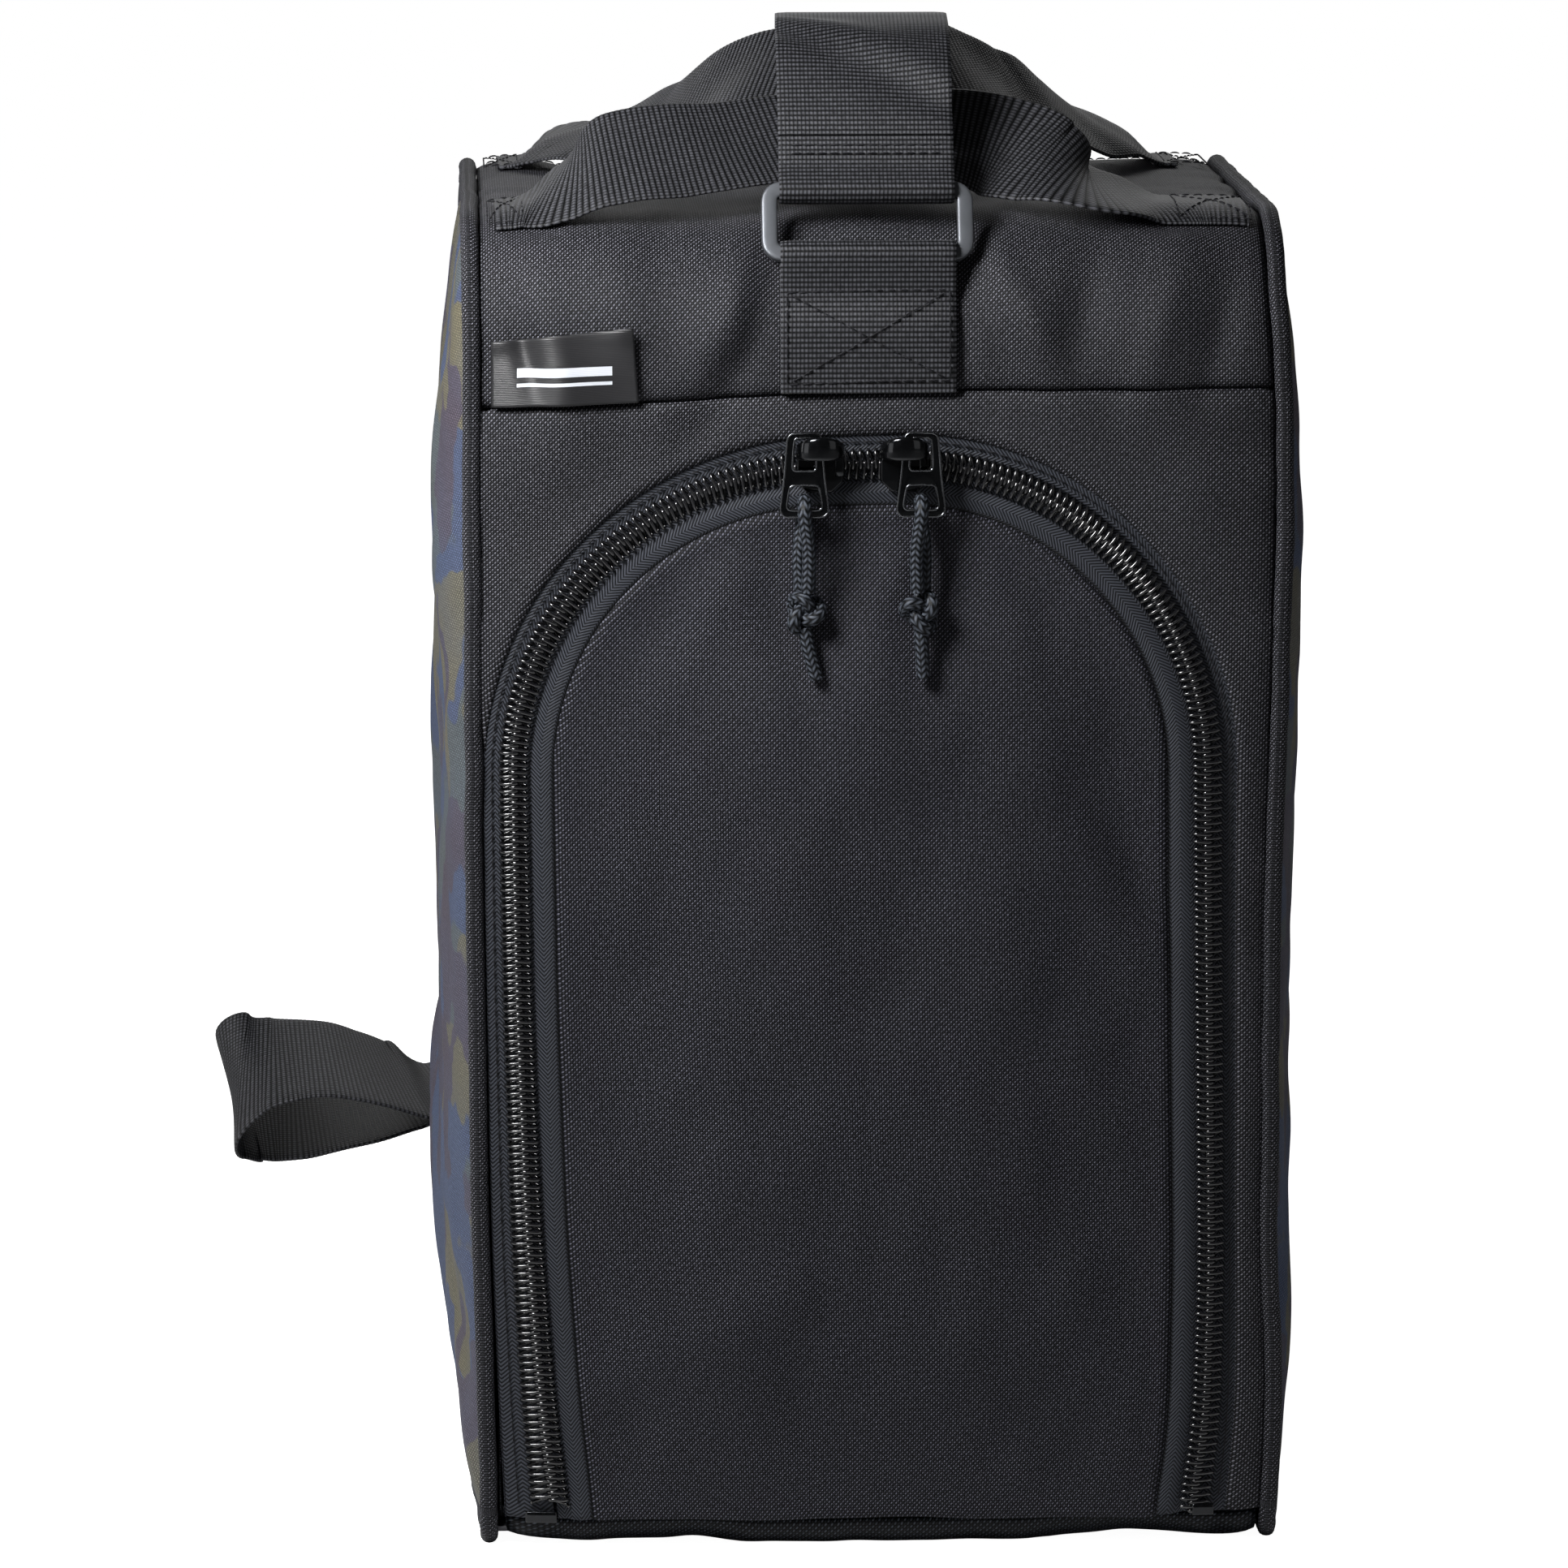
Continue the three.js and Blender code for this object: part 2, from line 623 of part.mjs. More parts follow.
function cordTail() {
  const top = new THREE.Vector3(0, 0, -KNOT_DROP - KNOT_GAP);
  const end = new THREE.Vector3(0, 0, -KNOT_DROP - KNOT_GAP - TAIL);
  return tube(new THREE.LineCurve3(top, end), 2);
}

// One slider with its puller and cord; side is -1 on the left and 1 on the right.
function zipPull(name, side) {
  const group = new THREE.Group();
  const flat = ZIP_HALF_WIDTH - ZIP_CORNER_RADIUS;
  const slider = piece(`${name}_slider`, sliderBody(), blackMetal());
  slider.position.set(ZIP_X + side * flat, FRONT_Y, ZIP_TOP);
  group.add(slider);
  const hanging = new THREE.Group();
  hanging.position.set(slider.position.x + side * PULLER_X, PULLER_Y, ZIP_TOP + PULLER_HANG);
  hanging.add(piece(`${name}_puller`, puller(), blackMetal()));
  hanging.add(piece(`${name}_pull_cord`, cordLoop(), paracord()));
  hanging.add(piece(`${name}_cord_knot`, knot(), paracord()));
  hanging.add(piece(`${name}_cord_tail`, cordTail(), paracord()));
  group.add(hanging);
  return group;
}

// ---- Zip and flap ----
const COIL_LOW = BASE_SEAM_Z + 4.4;
const COIL_FRONT = FRONT_Y - COIL_HEIGHT + 0.3;
const COIL_BACK = FRONT_Y + TAPE_DEPTH - 0.3;

function zipTape(inner, outer) {
  const layer = gussetLayer(TAPE_DEPTH, TAPE_DEPTH + TAPE);
  return layer.intersect(archStrip(inner, outer, FRONT_Y - 20, FRONT_Y + 20, BASE_SEAM_Z + GAP / 2));
}

function zipCoil(inner, outer) {
  return archStrip(inner, outer, COIL_FRONT, COIL_BACK, COIL_LOW);
}

function zipStop(side) {
  const inner = ZIP_X + side * (ZIP_HALF_WIDTH + ZIP_SPLIT);
  const outer = inner + side * COIL_WIDTH;
  return block(
    [Math.min(inner, outer), COIL_FRONT, BASE_SEAM_Z + 0.6],
    [Math.max(inner, outer), COIL_BACK, COIL_LOW - GAP],
  );
}

function flapLayer(outer, inner, reach) {
  return gussetLayer(outer, inner).intersect(
    throughBag(arch(reach, BASE_SEAM_Z + GAP / 2), FRONT_Y - 20, FRONT_Y + 20),
  );
}

function label() {
  return block([-109, FRONT_Y - 1.1, YOKE_Z + 1.5], [-68, FRONT_Y - 0.3, YOKE_Z + 21.5]);
}

// ---- The bag ----
const bag = new THREE.Group();
bag.name = 'boot_bag';

bag.add(piece('front_panel', frontPanel(), blackCloth()));
bag.add(piece('top_panel', topPanel(), blackCloth()));
bag.add(piece('back_panel', backPanel(), blackCloth()));
bag.add(piece('base_panel', basePanel(), baseSheet()));
bag.add(piece('base_board', baseBoard(), greyFoam()));
bag.add(piece('back_foam', backFoam(), greyFoam()));
bag.add(piece('lining', liningBag(), flapCloth()));
bag.add(piece('brand_label', label(), blackWebbing()));

for (const [name, side] of [['left', -1], ['right', 1]]) {
  bag.add(piece(`${name}_side_panel`, sidePanel(side), camoCloth()));
  bag.add(piece(`${name}_side_foam`, sideFoam(side), greyFoam()));
  bag.add(piece(`${name}_piping`, piping(side), blackCloth()));
  bag.add(piece(`${name}_zip_stop`, zipStop(side), blackMetal()));
  bag.add(zipPull(name, side));
}

bag.add(piece('body_zip_tape', zipTape(ZIP_SPLIT, OUTER_TAPE), blackTape()));
bag.add(piece('body_zip_coil', zipCoil(ZIP_SPLIT, ZIP_SPLIT + COIL_WIDTH), blackCoil()));
bag.add(piece('flap_panel', flapLayer(0, CLOTH, -INNER_TAPE - 0.3), flapCloth()));
bag.add(piece('flap_lining', flapLayer(CLOTH + GAP, CLOTH + GAP + LINING, -2), flapCloth()));
bag.add(piece('flap_zip_tape', zipTape(-INNER_TAPE, -ZIP_SPLIT), blackTape()));
bag.add(piece('flap_zip_coil', zipCoil(-ZIP_SPLIT - COIL_WIDTH, -ZIP_SPLIT), blackCoil()));

const frontTab = tabRoute(frontSurface, 0, FRONT_BAR.s, FRONT_BAR.off);
const backTab = tabRoute(backSurface, BACK_TAB_START, BACK_BAR.s, BACK_BAR.off);
bag.add(piece('front_ring_tab', foldedWebbing(frontTab, STRAP_X, WEBBING_WIDE, 36), blackWebbing()));
bag.add(piece('back_ring_tab', foldedWebbing(backTab, STRAP_X, WEBBING_WIDE, 36), blackWebbing()));
bag.add(ringGroup('front', frontPivot, -FRONT_RING_LEAN));
bag.add(ringGroup('back', backPivot, BACK_RING_LEAN));
bag.add(piece('shoulder_strap', webbing(strapStations(), WEBBING_WIDE, 84), blackWebbing()));
bag.add(piece('front_handle', handle(FRONT_HANDLE), blackWebbing()));
bag.add(piece('back_handle', handle(BACK_HANDLE), blackWebbing()));

export default bag;
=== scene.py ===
"""Looks of the boot bag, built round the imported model. Lengths are in millimetres until a mesh is made."""

import json
import math

import bmesh
import bpy
import numpy as np
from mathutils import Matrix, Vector


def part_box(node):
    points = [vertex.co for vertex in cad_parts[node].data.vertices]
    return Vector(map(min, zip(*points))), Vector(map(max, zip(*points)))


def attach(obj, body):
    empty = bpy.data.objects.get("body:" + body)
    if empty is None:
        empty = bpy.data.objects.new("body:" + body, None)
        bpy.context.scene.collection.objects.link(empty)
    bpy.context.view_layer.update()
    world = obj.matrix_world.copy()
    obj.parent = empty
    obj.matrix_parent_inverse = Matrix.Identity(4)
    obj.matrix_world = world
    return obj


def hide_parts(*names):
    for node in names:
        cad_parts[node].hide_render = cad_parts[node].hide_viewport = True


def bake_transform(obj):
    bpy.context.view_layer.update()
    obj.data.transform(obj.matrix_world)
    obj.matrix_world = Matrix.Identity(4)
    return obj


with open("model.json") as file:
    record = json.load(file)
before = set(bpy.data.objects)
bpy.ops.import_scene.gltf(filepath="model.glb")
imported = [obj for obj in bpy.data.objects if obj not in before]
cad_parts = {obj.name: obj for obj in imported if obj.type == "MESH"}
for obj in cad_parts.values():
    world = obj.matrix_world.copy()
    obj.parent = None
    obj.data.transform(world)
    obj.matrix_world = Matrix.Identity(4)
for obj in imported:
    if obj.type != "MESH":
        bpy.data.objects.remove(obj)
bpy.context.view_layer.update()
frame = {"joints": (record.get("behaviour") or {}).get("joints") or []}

MM = 0.001


def box_mm(node):
    """(lowest, highest) corner of a CAD node in millimetres."""
    low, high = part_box(node)
    return np.array(low) / MM, np.array(high) / MM


def joint_mm(name):
    """Where a joint's axis passes, in millimetres."""
    joint = next(j for j in frame["joints"] if j["name"] == name)
    return np.array(joint["pos_m"], float) / MM


# ---- Sizes, from the frame or as the part's source has them ----
FRONT_Y = box_mm("front_panel")[0][1]
HEIGHT = box_mm("top_panel")[1][2]
BASE_BACK_Y = -FRONT_Y
TOP_BACK_Y = 55
CORNER_RADII = (12, 35, 40, 40)  # front bottom, front top, back top, back bottom
GUSSET_HALF = box_mm("top_panel")[1][0]
PIPING_X = (box_mm("right_piping")[0][0] + box_mm("right_piping")[1][0]) / 2
PIPING_RADIUS = 2.6
PIPING_SIDES = 16
YOKE_Z = box_mm("front_panel")[1][2]
BASE_SEAM_Z = box_mm("flap_panel")[0][2]
ZIP_X = -4
ZIP_HALF_WIDTH = 99.5
ZIP_CORNER_RADIUS = 87.5
ZIP_TOP = 315
ZIP_SPRING = ZIP_TOP - ZIP_CORNER_RADIUS
ZIP_FLAT = ZIP_HALF_WIDTH - ZIP_CORNER_RADIUS
SEAM_GAP = 0.3
OUTER_TAPE = 9.2
INNER_TAPE = 11.7
TAPE_THICKNESS = 0.8
TAPE_SINK = 0.9
HEM_CLOTH = 0.9
WEBBING = 1.4
STRAP_X = -2
STRAP_WIDTH = 50
HANDLE_WIDTH = 38
RING_BAR = 2.35
RING_HEIGHT = 19.3
RING_WIDTH = 55.8
RING_HALF_DEPTH = 1.5
RING_CORNER = 3.4
RING_SIDES = 16
CORD_RADIUS = 1.9


# ---- Camera ----
VIEW_WIDTH = 449.3832  # how much the view takes in, in the plane it is aimed at
CAMERA_DISTANCE = 2500
CAMERA_ELEVATION = math.radians(9)
CAMERA_AZIMUTH = math.radians(-2.3)
CAMERA_AIM = (-26, -170, 224)
SENSOR_MM = 36


def make_camera():
    """The view of the photo, set by distance, elevation and azimuth round the aim."""
    data = bpy.data.cameras.new("camera")
    data.sensor_width = SENSOR_MM
    data.lens = CAMERA_DISTANCE / VIEW_WIDTH * SENSOR_MM
    data.clip_start = 0.1
    data.clip_end = 50
    camera = bpy.data.objects.new("camera", data)
    level, rise = math.cos(CAMERA_ELEVATION), math.sin(CAMERA_ELEVATION)
    back = Vector((level * math.sin(CAMERA_AZIMUTH), -level * math.cos(CAMERA_AZIMUTH), rise))
    camera.location = (Vector(CAMERA_AIM) + back * CAMERA_DISTANCE) * MM
    camera.rotation_mode = "QUATERNION"
    camera.rotation_quaternion = (-back).to_track_quat("-Z", "Y")
    bpy.context.scene.collection.objects.link(camera)
    bpy.context.scene.camera = camera


make_camera()


# ---- Noise ----
NOISE_TABLE = np.random.RandomState(7).rand(256, 256) * 2 - 1


def noise(u, v, seed=0):
    """Smooth value noise from -1 to 1, one cell a unit."""
    u, v = np.asarray(u, float) + 17.3 * seed, np.asarray(v, float) + 31.7 * seed
    iu, iv = np.floor(u).astype(int), np.floor(v).astype(int)
    fu, fv = u - iu, v - iv
    fu, fv = fu * fu * (3 - 2 * fu), fv * fv * (3 - 2 * fv)
    at = lambda a, b: NOISE_TABLE[a % 256, b % 256]
    low = at(iu, iv) * (1 - fu) + at(iu + 1, iv) * fu
    high = at(iu, iv + 1) * (1 - fu) + at(iu + 1, iv + 1) * fu
    return low * (1 - fv) + high * fv


def layered(u, v, seed=0, layers=3):
    """Several layers of noise, each half the size and strength of the one before."""
    return sum(noise(u * 2**k, v * 2**k, seed + 5 * k) / 2**k for k in range(layers))


def smooth_step(low, high, value):
    """0 below low, 1 above high and a smooth rise between them."""
    t = np.clip((value - low) / (high - low), 0, 1)
    return t * t * (3 - 2 * t)


def unit(vectors):
    """Vectors brought to length one."""
    return vectors / np.maximum(np.linalg.norm(vectors, axis=-1, keepdims=True), 1e-9)


def lengths_along(line):
    """Distance of each point from the line's start, measured along it."""
    return np.concatenate([[0], np.cumsum(np.linalg.norm(np.diff(line, axis=0), axis=1))])


# ---- Mesh helpers ----
def grid_quads(rows, columns, wrap_rows=False, wrap_columns=False, start=0):
    """Quads of a grid whose points are numbered row by row."""
    i = np.arange(rows if wrap_rows else rows - 1)
    j = np.arange(columns if wrap_columns else columns - 1)
    i, j = np.meshgrid(i, j, indexing="ij")
    i2, j2 = (i + 1) % rows, (j + 1) % columns
    quads = np.stack([i * columns + j, i2 * columns + j, i2 * columns + j2, i * columns + j2], -1)
    return quads.reshape(-1, 4) + start


def mesh_object(name, points, quads, uv=None, material=None):
    """A smooth mesh from points in millimetres; uv is in millimetres along the cloth."""
    mesh = bpy.data.meshes.new(name)
    points = np.asarray(points, float).reshape(-1, 3)
    mesh.vertices.add(len(points))
    mesh.vertices.foreach_set("co", (points * MM).astype(np.float32).ravel())
    mesh.loops.add(quads.size)
    mesh.loops.foreach_set("vertex_index", quads.astype(np.int32).ravel())
    mesh.polygons.add(len(quads))
    mesh.polygons.foreach_set("loop_start", np.arange(0, quads.size, 4, dtype=np.int32))
    mesh.polygons.foreach_set("use_smooth", np.ones(len(quads), bool))
    mesh.update(calc_edges=True)
    if uv is not None:
        layer = mesh.uv_layers.new(name="cloth")
        values = np.asarray(uv, float).reshape(-1, 2)[quads.ravel()]
        layer.data.foreach_set("uv", values.astype(np.float32).ravel())
    mesh.validate()
    piece = bpy.data.objects.new(name, mesh)
    bpy.context.scene.collection.objects.link(piece)
    if material:
        mesh.materials.append(material)
    return piece


def weld(piece, distance=0.02):
    """Merges points closer than distance, in millimetres."""
    work = bmesh.new()
    work.from_mesh(piece.data)
    bmesh.ops.remove_doubles(work, verts=work.verts, dist=distance * MM)
    bmesh.ops.dissolve_degenerate(work, edges=work.edges, dist=1e-7)
    work.to_mesh(piece.data)
    work.free()
    return piece


def thicken(piece, thickness):
    """Gives a sheet thickness on its inner side."""
    modifier = piece.modifiers.new("thickness", "SOLIDIFY")
    modifier.thickness = thickness * MM
    modifier.offset = -1
    modifier.use_even_offset = False
    return piece


def assign(piece, body, slot_name, *nodes):
    """Says which body a piece rides on and which CAD nodes it stands for; slot_name, what it is made of, is
    not used.
    """
    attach(piece, body)
    if nodes:
        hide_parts(*nodes)
    return piece


def with_ends(rings, line):
    """Rings with one more at each end, drawn in to a point of the line."""
    tips = line[[0, -1]][:, None] + 0 * rings[:2]
    return np.concatenate([tips[:1], rings, tips[1:]])


def squared(value, power):
    """A sine or cosine swollen towards a square's side; the lower the power, the squarer."""
    return np.sign(value) * np.abs(value) ** power


def grid_piece(name, points, uv, material, flip=False, thickness=1.2):
    """A sheet from a grid of points, rows by columns, thickened away from its face."""
    rows, columns = points.shape[:2]
    quads = grid_quads(rows, columns)
    if flip:
        quads = quads[:, ::-1]
    return thicken(mesh_object(name, points, quads, uv, material), thickness)


def rings_round(line, first, second, radius, sides):
    """Rings of points round a line, in the planes that first and second span."""
    turn = np.arange(sides) * 2 * math.pi / sides
    ring = np.cos(turn)[None, :, None] * first[:, None] + np.sin(turn)[None, :, None] * second[:, None]
    return line[:, None] + ring * np.broadcast_to(radius, (len(line), sides))[..., None]


def tube_piece(name, line, radius, sides, reference, material, closed=False):
    """A round bar along a line that never runs along reference, pointed at its ends unless closed."""
    along = unit(np.gradient(line, axis=0))
    first = unit(np.cross(np.broadcast_to(reference, line.shape), along))
    rings = rings_round(line, first, np.cross(along, first), radius, sides)
    turn = np.arange(sides) / sides
    uv = np.stack(np.meshgrid(lengths_along(line), turn * 2 * math.pi * np.max(radius), indexing="ij"), -1)
    if not closed:
        rings = with_ends(rings, line)
        uv = np.concatenate([uv[:1], uv, uv[-1:]])
    quads = grid_quads(len(rings), sides, wrap_rows=closed, wrap_columns=True)
    return weld(mesh_object(name, rings, quads, uv, material), 0.001)


def resample(line, step):
    """Points along a line, evenly spaced by about step."""
    line = np.asarray(line, float)
    length = lengths_along(line)
    count = max(2, int(round(length[-1] / step)) + 1)
    at = np.linspace(0, length[-1], count)
    return np.stack([np.interp(at, length, line[:, k]) for k in range(line.shape[1])], -1)


def curve_through(points, per_span=24):
    """A smooth curve through points of any number of values, with centripetal spacing by the first three."""
    p = np.asarray(points, float)
    p = np.concatenate([[2 * p[0] - p[1]], p, [2 * p[-1] - p[-2]]])
    made = []
    for i in range(1, len(p) - 2):
        gaps = [max(np.linalg.norm(p[i + k, :3] - p[i + k - 1, :3]) ** 0.5, 1e-6) for k in (0, 1, 2)]
        t0, t1 = 0.0, gaps[0]
        t2, t3 = t1 + gaps[1], t1 + gaps[1] + gaps[2]
        t = np.linspace(t1, t2, per_span, endpoint=i == len(p) - 3)[:, None]
        a = [
            ((b - t) * p[i - 1 + k] + (t - c) * p[i + k]) / (b - c)
            for k, (c, b) in enumerate([(t0, t1), (t1, t2), (t2, t3)])
        ]
        b1 = ((t2 - t) * a[0] + (t - t0) * a[1]) / (t2 - t0)
        b2 = ((t3 - t) * a[1] + (t - t1) * a[2]) / (t3 - t1)
        made.append(((t2 - t) * b1 + (t - t1) * b2) / (t2 - t1))
    return np.concatenate(made)


# ---- The side outline, as a distance s that equals z on the straight front ----
def outline_table():
    """Distances, points and outward normals round the bag's side, from the foot of the front."""
    corners = np.array([[FRONT_Y, 0], [FRONT_Y, HEIGHT], [TOP_BACK_Y, HEIGHT], [BASE_BACK_Y, 0]], float)
    points, normals = [], []
    for i in (1, 2, 3, 0):
        arriving = unit(corners[i] - corners[i - 1])
        leaving = unit(corners[(i + 1) % 4] - corners[i])
        n_in, n_out = np.array([-arriving[1], arriving[0]]), np.array([-leaving[1], leaving[0]])
        radius = CORNER_RADII[i]
        centre = corners[i] - (n_in + n_out) * radius / (1 + n_in @ n_out)
        start = math.atan2(n_in[1], n_in[0])
        turn = math.acos(np.clip(n_in @ n_out, -1, 1))
        for angle in start - np.linspace(0, turn, 40):
            normal = np.array([math.cos(angle), math.sin(angle)])
            points.append(centre + normal * radius)
            normals.append(normal)
    first = np.array([FRONT_Y, CORNER_RADII[0]])
    points, normals = np.array([first] + points), np.array([[-1.0, 0.0]] + normals)
    s = CORNER_RADII[0] + lengths_along(points)
    return s, points, normals


OUTLINE_S, OUTLINE_P, OUTLINE_N = outline_table()
OUTLINE_LENGTH = OUTLINE_S[-1] - OUTLINE_S[0]


def outline_at(s):
    """(y, z, normal y, normal z) of the gusset's plain outer surface at s."""
    s = (np.asarray(s, float) - OUTLINE_S[0]) % OUTLINE_LENGTH + OUTLINE_S[0]
    values = [np.interp(s, OUTLINE_S, column) for column in (*OUTLINE_P.T, *OUTLINE_N.T)]
    scale = np.hypot(values[2], values[3])
    return values[0], values[1], values[2] / scale, values[3] / scale


def outline_s_of(y, z):
    """The s of the outline point nearest to (y, z)."""
    fine = np.linspace(OUTLINE_S[0], OUTLINE_S[-1], 4000)
    oy, oz, _, _ = outline_at(fine)
    return fine[np.argmin((oy - y) ** 2 + (oz - z) ** 2)]


TOP_SEAM_S = outline_s_of(30, HEIGHT)
BACK_SEAM_S = outline_s_of(BASE_BACK_Y, BASE_SEAM_Z)
TOP_BACK_S = outline_s_of(TOP_BACK_Y, HEIGHT)
FRONT_HANDLE_S = outline_s_of(-134, HEIGHT)
BACK_HANDLE_S = outline_s_of(11, HEIGHT)


# ---- How the stuffed cloth swells, slips and wrinkles ----
# Sideways slip of four lines up the front, as (height, slip): the two pipings and the zip's two legs.
SLIP_LINES = {
    -115: [(0, 3.4), (9, 3.2), (94, 1.3), (200, 0.2), (386, 0)],
    -103.5: [(0, 12.5), (9, 11.7), (44, 7.3), (94, 3.5), (160, 1), (225, 0)],
    95.5: [(0, -4), (9, -3.3), (36, 0.9), (81, 2.2), (150, 1.2), (225, 0)],
    115: [(0, 0), (47, 1.8), (86, -0.4), (200, 0), (250, 1.4), (298, 2.8), (335, 2), (386, 0)],
}
YOKE_DROOP = [(-115, -2.8), (-60, -0.6), (0, 1.8), (115, 2.5)]


def table(pairs, at):
    """A value read off a short list of (place, value), rounded off at its corners."""
    places, values = zip(*pairs)
    spread = 0.04 * (max(places) - min(places))
    return sum(np.interp(at + k * spread, places, values) for k in (-1, 0, 1)) / 3


def slip(x, y, z):
    """Sideways slip of the front's cloth, which dies away towards the back."""
    places = sorted(SLIP_LINES)
    slips = [table(SLIP_LINES[place], z) for place in places]
    made = slips[0]
    for k in range(3):
        share = np.clip((x - places[k]) / (places[k + 1] - places[k]), 0, 1)
        made = made + share * (slips[k + 1] - slips[k])
    return made * smooth_step(-60, -150, y)


def arch_distance(x, z):
    """Distance from the zip chain's middle, negative on the flap."""
    aside = np.abs(x - ZIP_X)
    bent = np.hypot(np.maximum(aside - ZIP_FLAT, 0), z - ZIP_SPRING) - ZIP_CORNER_RADIUS
    return np.where(z > ZIP_SPRING, bent, aside - ZIP_HALF_WIDTH)


def patch(x, s, x_range, s_range, soft):
    """1 inside a rectangle of the gusset, 0 beyond its soft rim."""
    across = smooth_step(-soft, 0, x - x_range[0]) * smooth_step(-soft, 0, x_range[1] - x)
    return across * smooth_step(-soft, 0, s - s_range[0]) * smooth_step(-soft, 0, s_range[1] - s)


def pinned(x, s):
    """1 where webbing is sewn down flat."""
    back = TOP_BACK_S + 20
    spots = [
        patch(x, s, (STRAP_X - 25, STRAP_X + 25), (YOKE_Z + 1, YOKE_Z + 42), 14),
        patch(x, s, (STRAP_X - 25, STRAP_X + 25), (back - 8, back + 60), 14),
    ]
    for handle_s, right in ((FRONT_HANDLE_S, 84), (BACK_HANDLE_S, 90)):
        rows = (handle_s - 19, handle_s + 19)
        spots.append(patch(x, s, (-GUSSET_HALF, -94), rows, 8))
        spots.append(patch(x, s, (right, GUSSET_HALF), rows, 8))
    return np.maximum.reduce(spots)


def swell(x, s):
    """How far the gusset stands off its plain surface, in millimetres."""
    x, s = np.broadcast_arrays(np.asarray(x, float), np.asarray(s, float))
    edge = GUSSET_HALF - np.abs(x)
    on_front = 1 - smooth_step(YOKE_Z - 25, YOKE_Z + 5, s)
    zip_gap = np.abs(arch_distance(x, s))
    calm = 1 - on_front * (1 - smooth_step(9, 30, zip_gap))
    flap = 7.5 * smooth_step(8, 75, -arch_distance(x, s)) * smooth_step(-10, 80, s) * on_front
    yoke = 2.6 * smooth_step(12, 45, arch_distance(x, s)) * smooth_step(0, 25, edge)
    yoke = yoke * smooth_step(230, 320, s) * (1 - smooth_step(HEIGHT - 20, HEIGHT + 20, s))
    crown = 1 - np.clip(np.abs(x) / GUSSET_HALF, 0, 1) ** 2.2
    back = 7 * crown * smooth_step(TOP_SEAM_S, TOP_SEAM_S + 120, s)
    back = back * (1 - smooth_step(BACK_SEAM_S - 90, BACK_SEAM_S, s))
    soft = 1.5 * layered(x / 46, s / 70, 1) + 0.6 * layered(x / 17, s / 30, 2, 2)
    pucker = noise(s / 11, np.sign(x) * 4 + x / 60, 3) * np.exp(-edge / 14)
    tuck = -2.2 * np.exp(-edge / 3.2)
    hem = smooth_step(0, 20, s - BASE_SEAM_Z)
    loose = (soft * smooth_step(0, 30, edge) + pucker) * hem * (0.12 + 0.88 * calm)
    loose = loose + creased(DENTS, x, s) * hem
    return (flap + yoke + back + loose) * (1 - pinned(x, s)) + tuck + 0.3


# Creases and dents of the front as (x, s, along x, along s, length, width, depth).
DENTS = [
    (-24, 262, 0.3, -1.0, 26, 9, -2.2),
    (14, 268, -0.1, -1.0, 24, 9, -2.0),
    (-2, 240, 0.0, 1.0, 34, 12, 1.4),
    (-46, 276, -0.5, -1.0, 24, 8, 1.3),
    (34, 280, 0.5, -1.0, 24, 8, 1.2),
    (-100, 352, 0.25, -1.0, 16, 4, -1.8),
    (-92, 352, 0.25, -1.0, 18, 5, 1.0),
    (-44, 354, -0.6, -1.0, 24, 7, 2.4),
    (-33, 352, -0.6, -1.0, 22, 5, -2.2),
    (-72, 360, 0.2, -1.0, 20, 9, 1.6),
    (34, 352, 0.5, -1.0, 22, 5, -1.9),
    (44, 356, 0.5, -1.0, 24, 6, 2.3),
    (60, 358, -0.2, -1.0, 22, 6, -2.1),
    (82, 354, -0.3, -1.0, 22, 7, 2.2),
    (98, 350, -0.2, -1.0, 20, 5, -1.8),
    (72, 205, -0.6, 1.0, 30, 7, -1.5),
    (62, 195, -0.6, 1.0, 34, 9, 1.2),
    (-60, 60, 0.9, 0.5, 40, 10, 1.2),
    (50, 48, -0.9, 0.4, 44, 12, 1.2),
    (-4, 130, 0.0, 1.0, 70, 1.2, -0.25),
]


def creased(rows, a, b):
    """Sum of long soft dents, each a row of (a, b, along a, along b, length, width, depth)."""
    total = 0
    for a0, b0, toward_a, toward_b, length, width, depth in rows:
        scale = math.hypot(toward_a, toward_b)
        along = ((a - a0) * toward_a + (b - b0) * toward_b) / scale
        aside = (-(a - a0) * toward_b + (b - b0) * toward_a) / scale
        total = total + depth * np.exp(-((along / length) ** 2) - (aside / width) ** 2)
    return total


def on_gusset(x, s, off=0.0):
    """Points on the swollen gusset, off above it."""
    x, s = np.broadcast_arrays(np.asarray(x, float), np.asarray(s, float))
    droop = table(YOKE_DROOP, x) * np.exp(-(((s - YOKE_Z) / 40) ** 2))
    hem = 0.9 * noise(x / 23, 0 * x, 9) * np.exp(-(((s - BASE_SEAM_Z) / 14) ** 2))
    y, z, ny, nz = outline_at(s + droop + hem)
    high = swell(x, s) + off
    moved = x + slip(x, y, z) * (1 - smooth_step(HEIGHT - 40, HEIGHT - 10, z))
    return np.stack([moved, y + ny * high, z + nz * high], -1)


def gusset_normal(x, s):
    """Outward unit normals of the swollen gusset."""
    step = 0.5
    along_x = on_gusset(np.asarray(x) + step, s) - on_gusset(np.asarray(x) - step, s)
    along_s = on_gusset(x, np.asarray(s) + step) - on_gusset(x, np.asarray(s) - step)
    return unit(np.cross(along_x, along_s))


# ---- Materials ----
def new_material(name):
    """(material, node tree, shader) of a new plain material."""
    material = bpy.data.materials.new(name)
    material.use_nodes = True
    tree = material.node_tree
    shader = tree.nodes["Principled BSDF"]
    return material, tree, shader


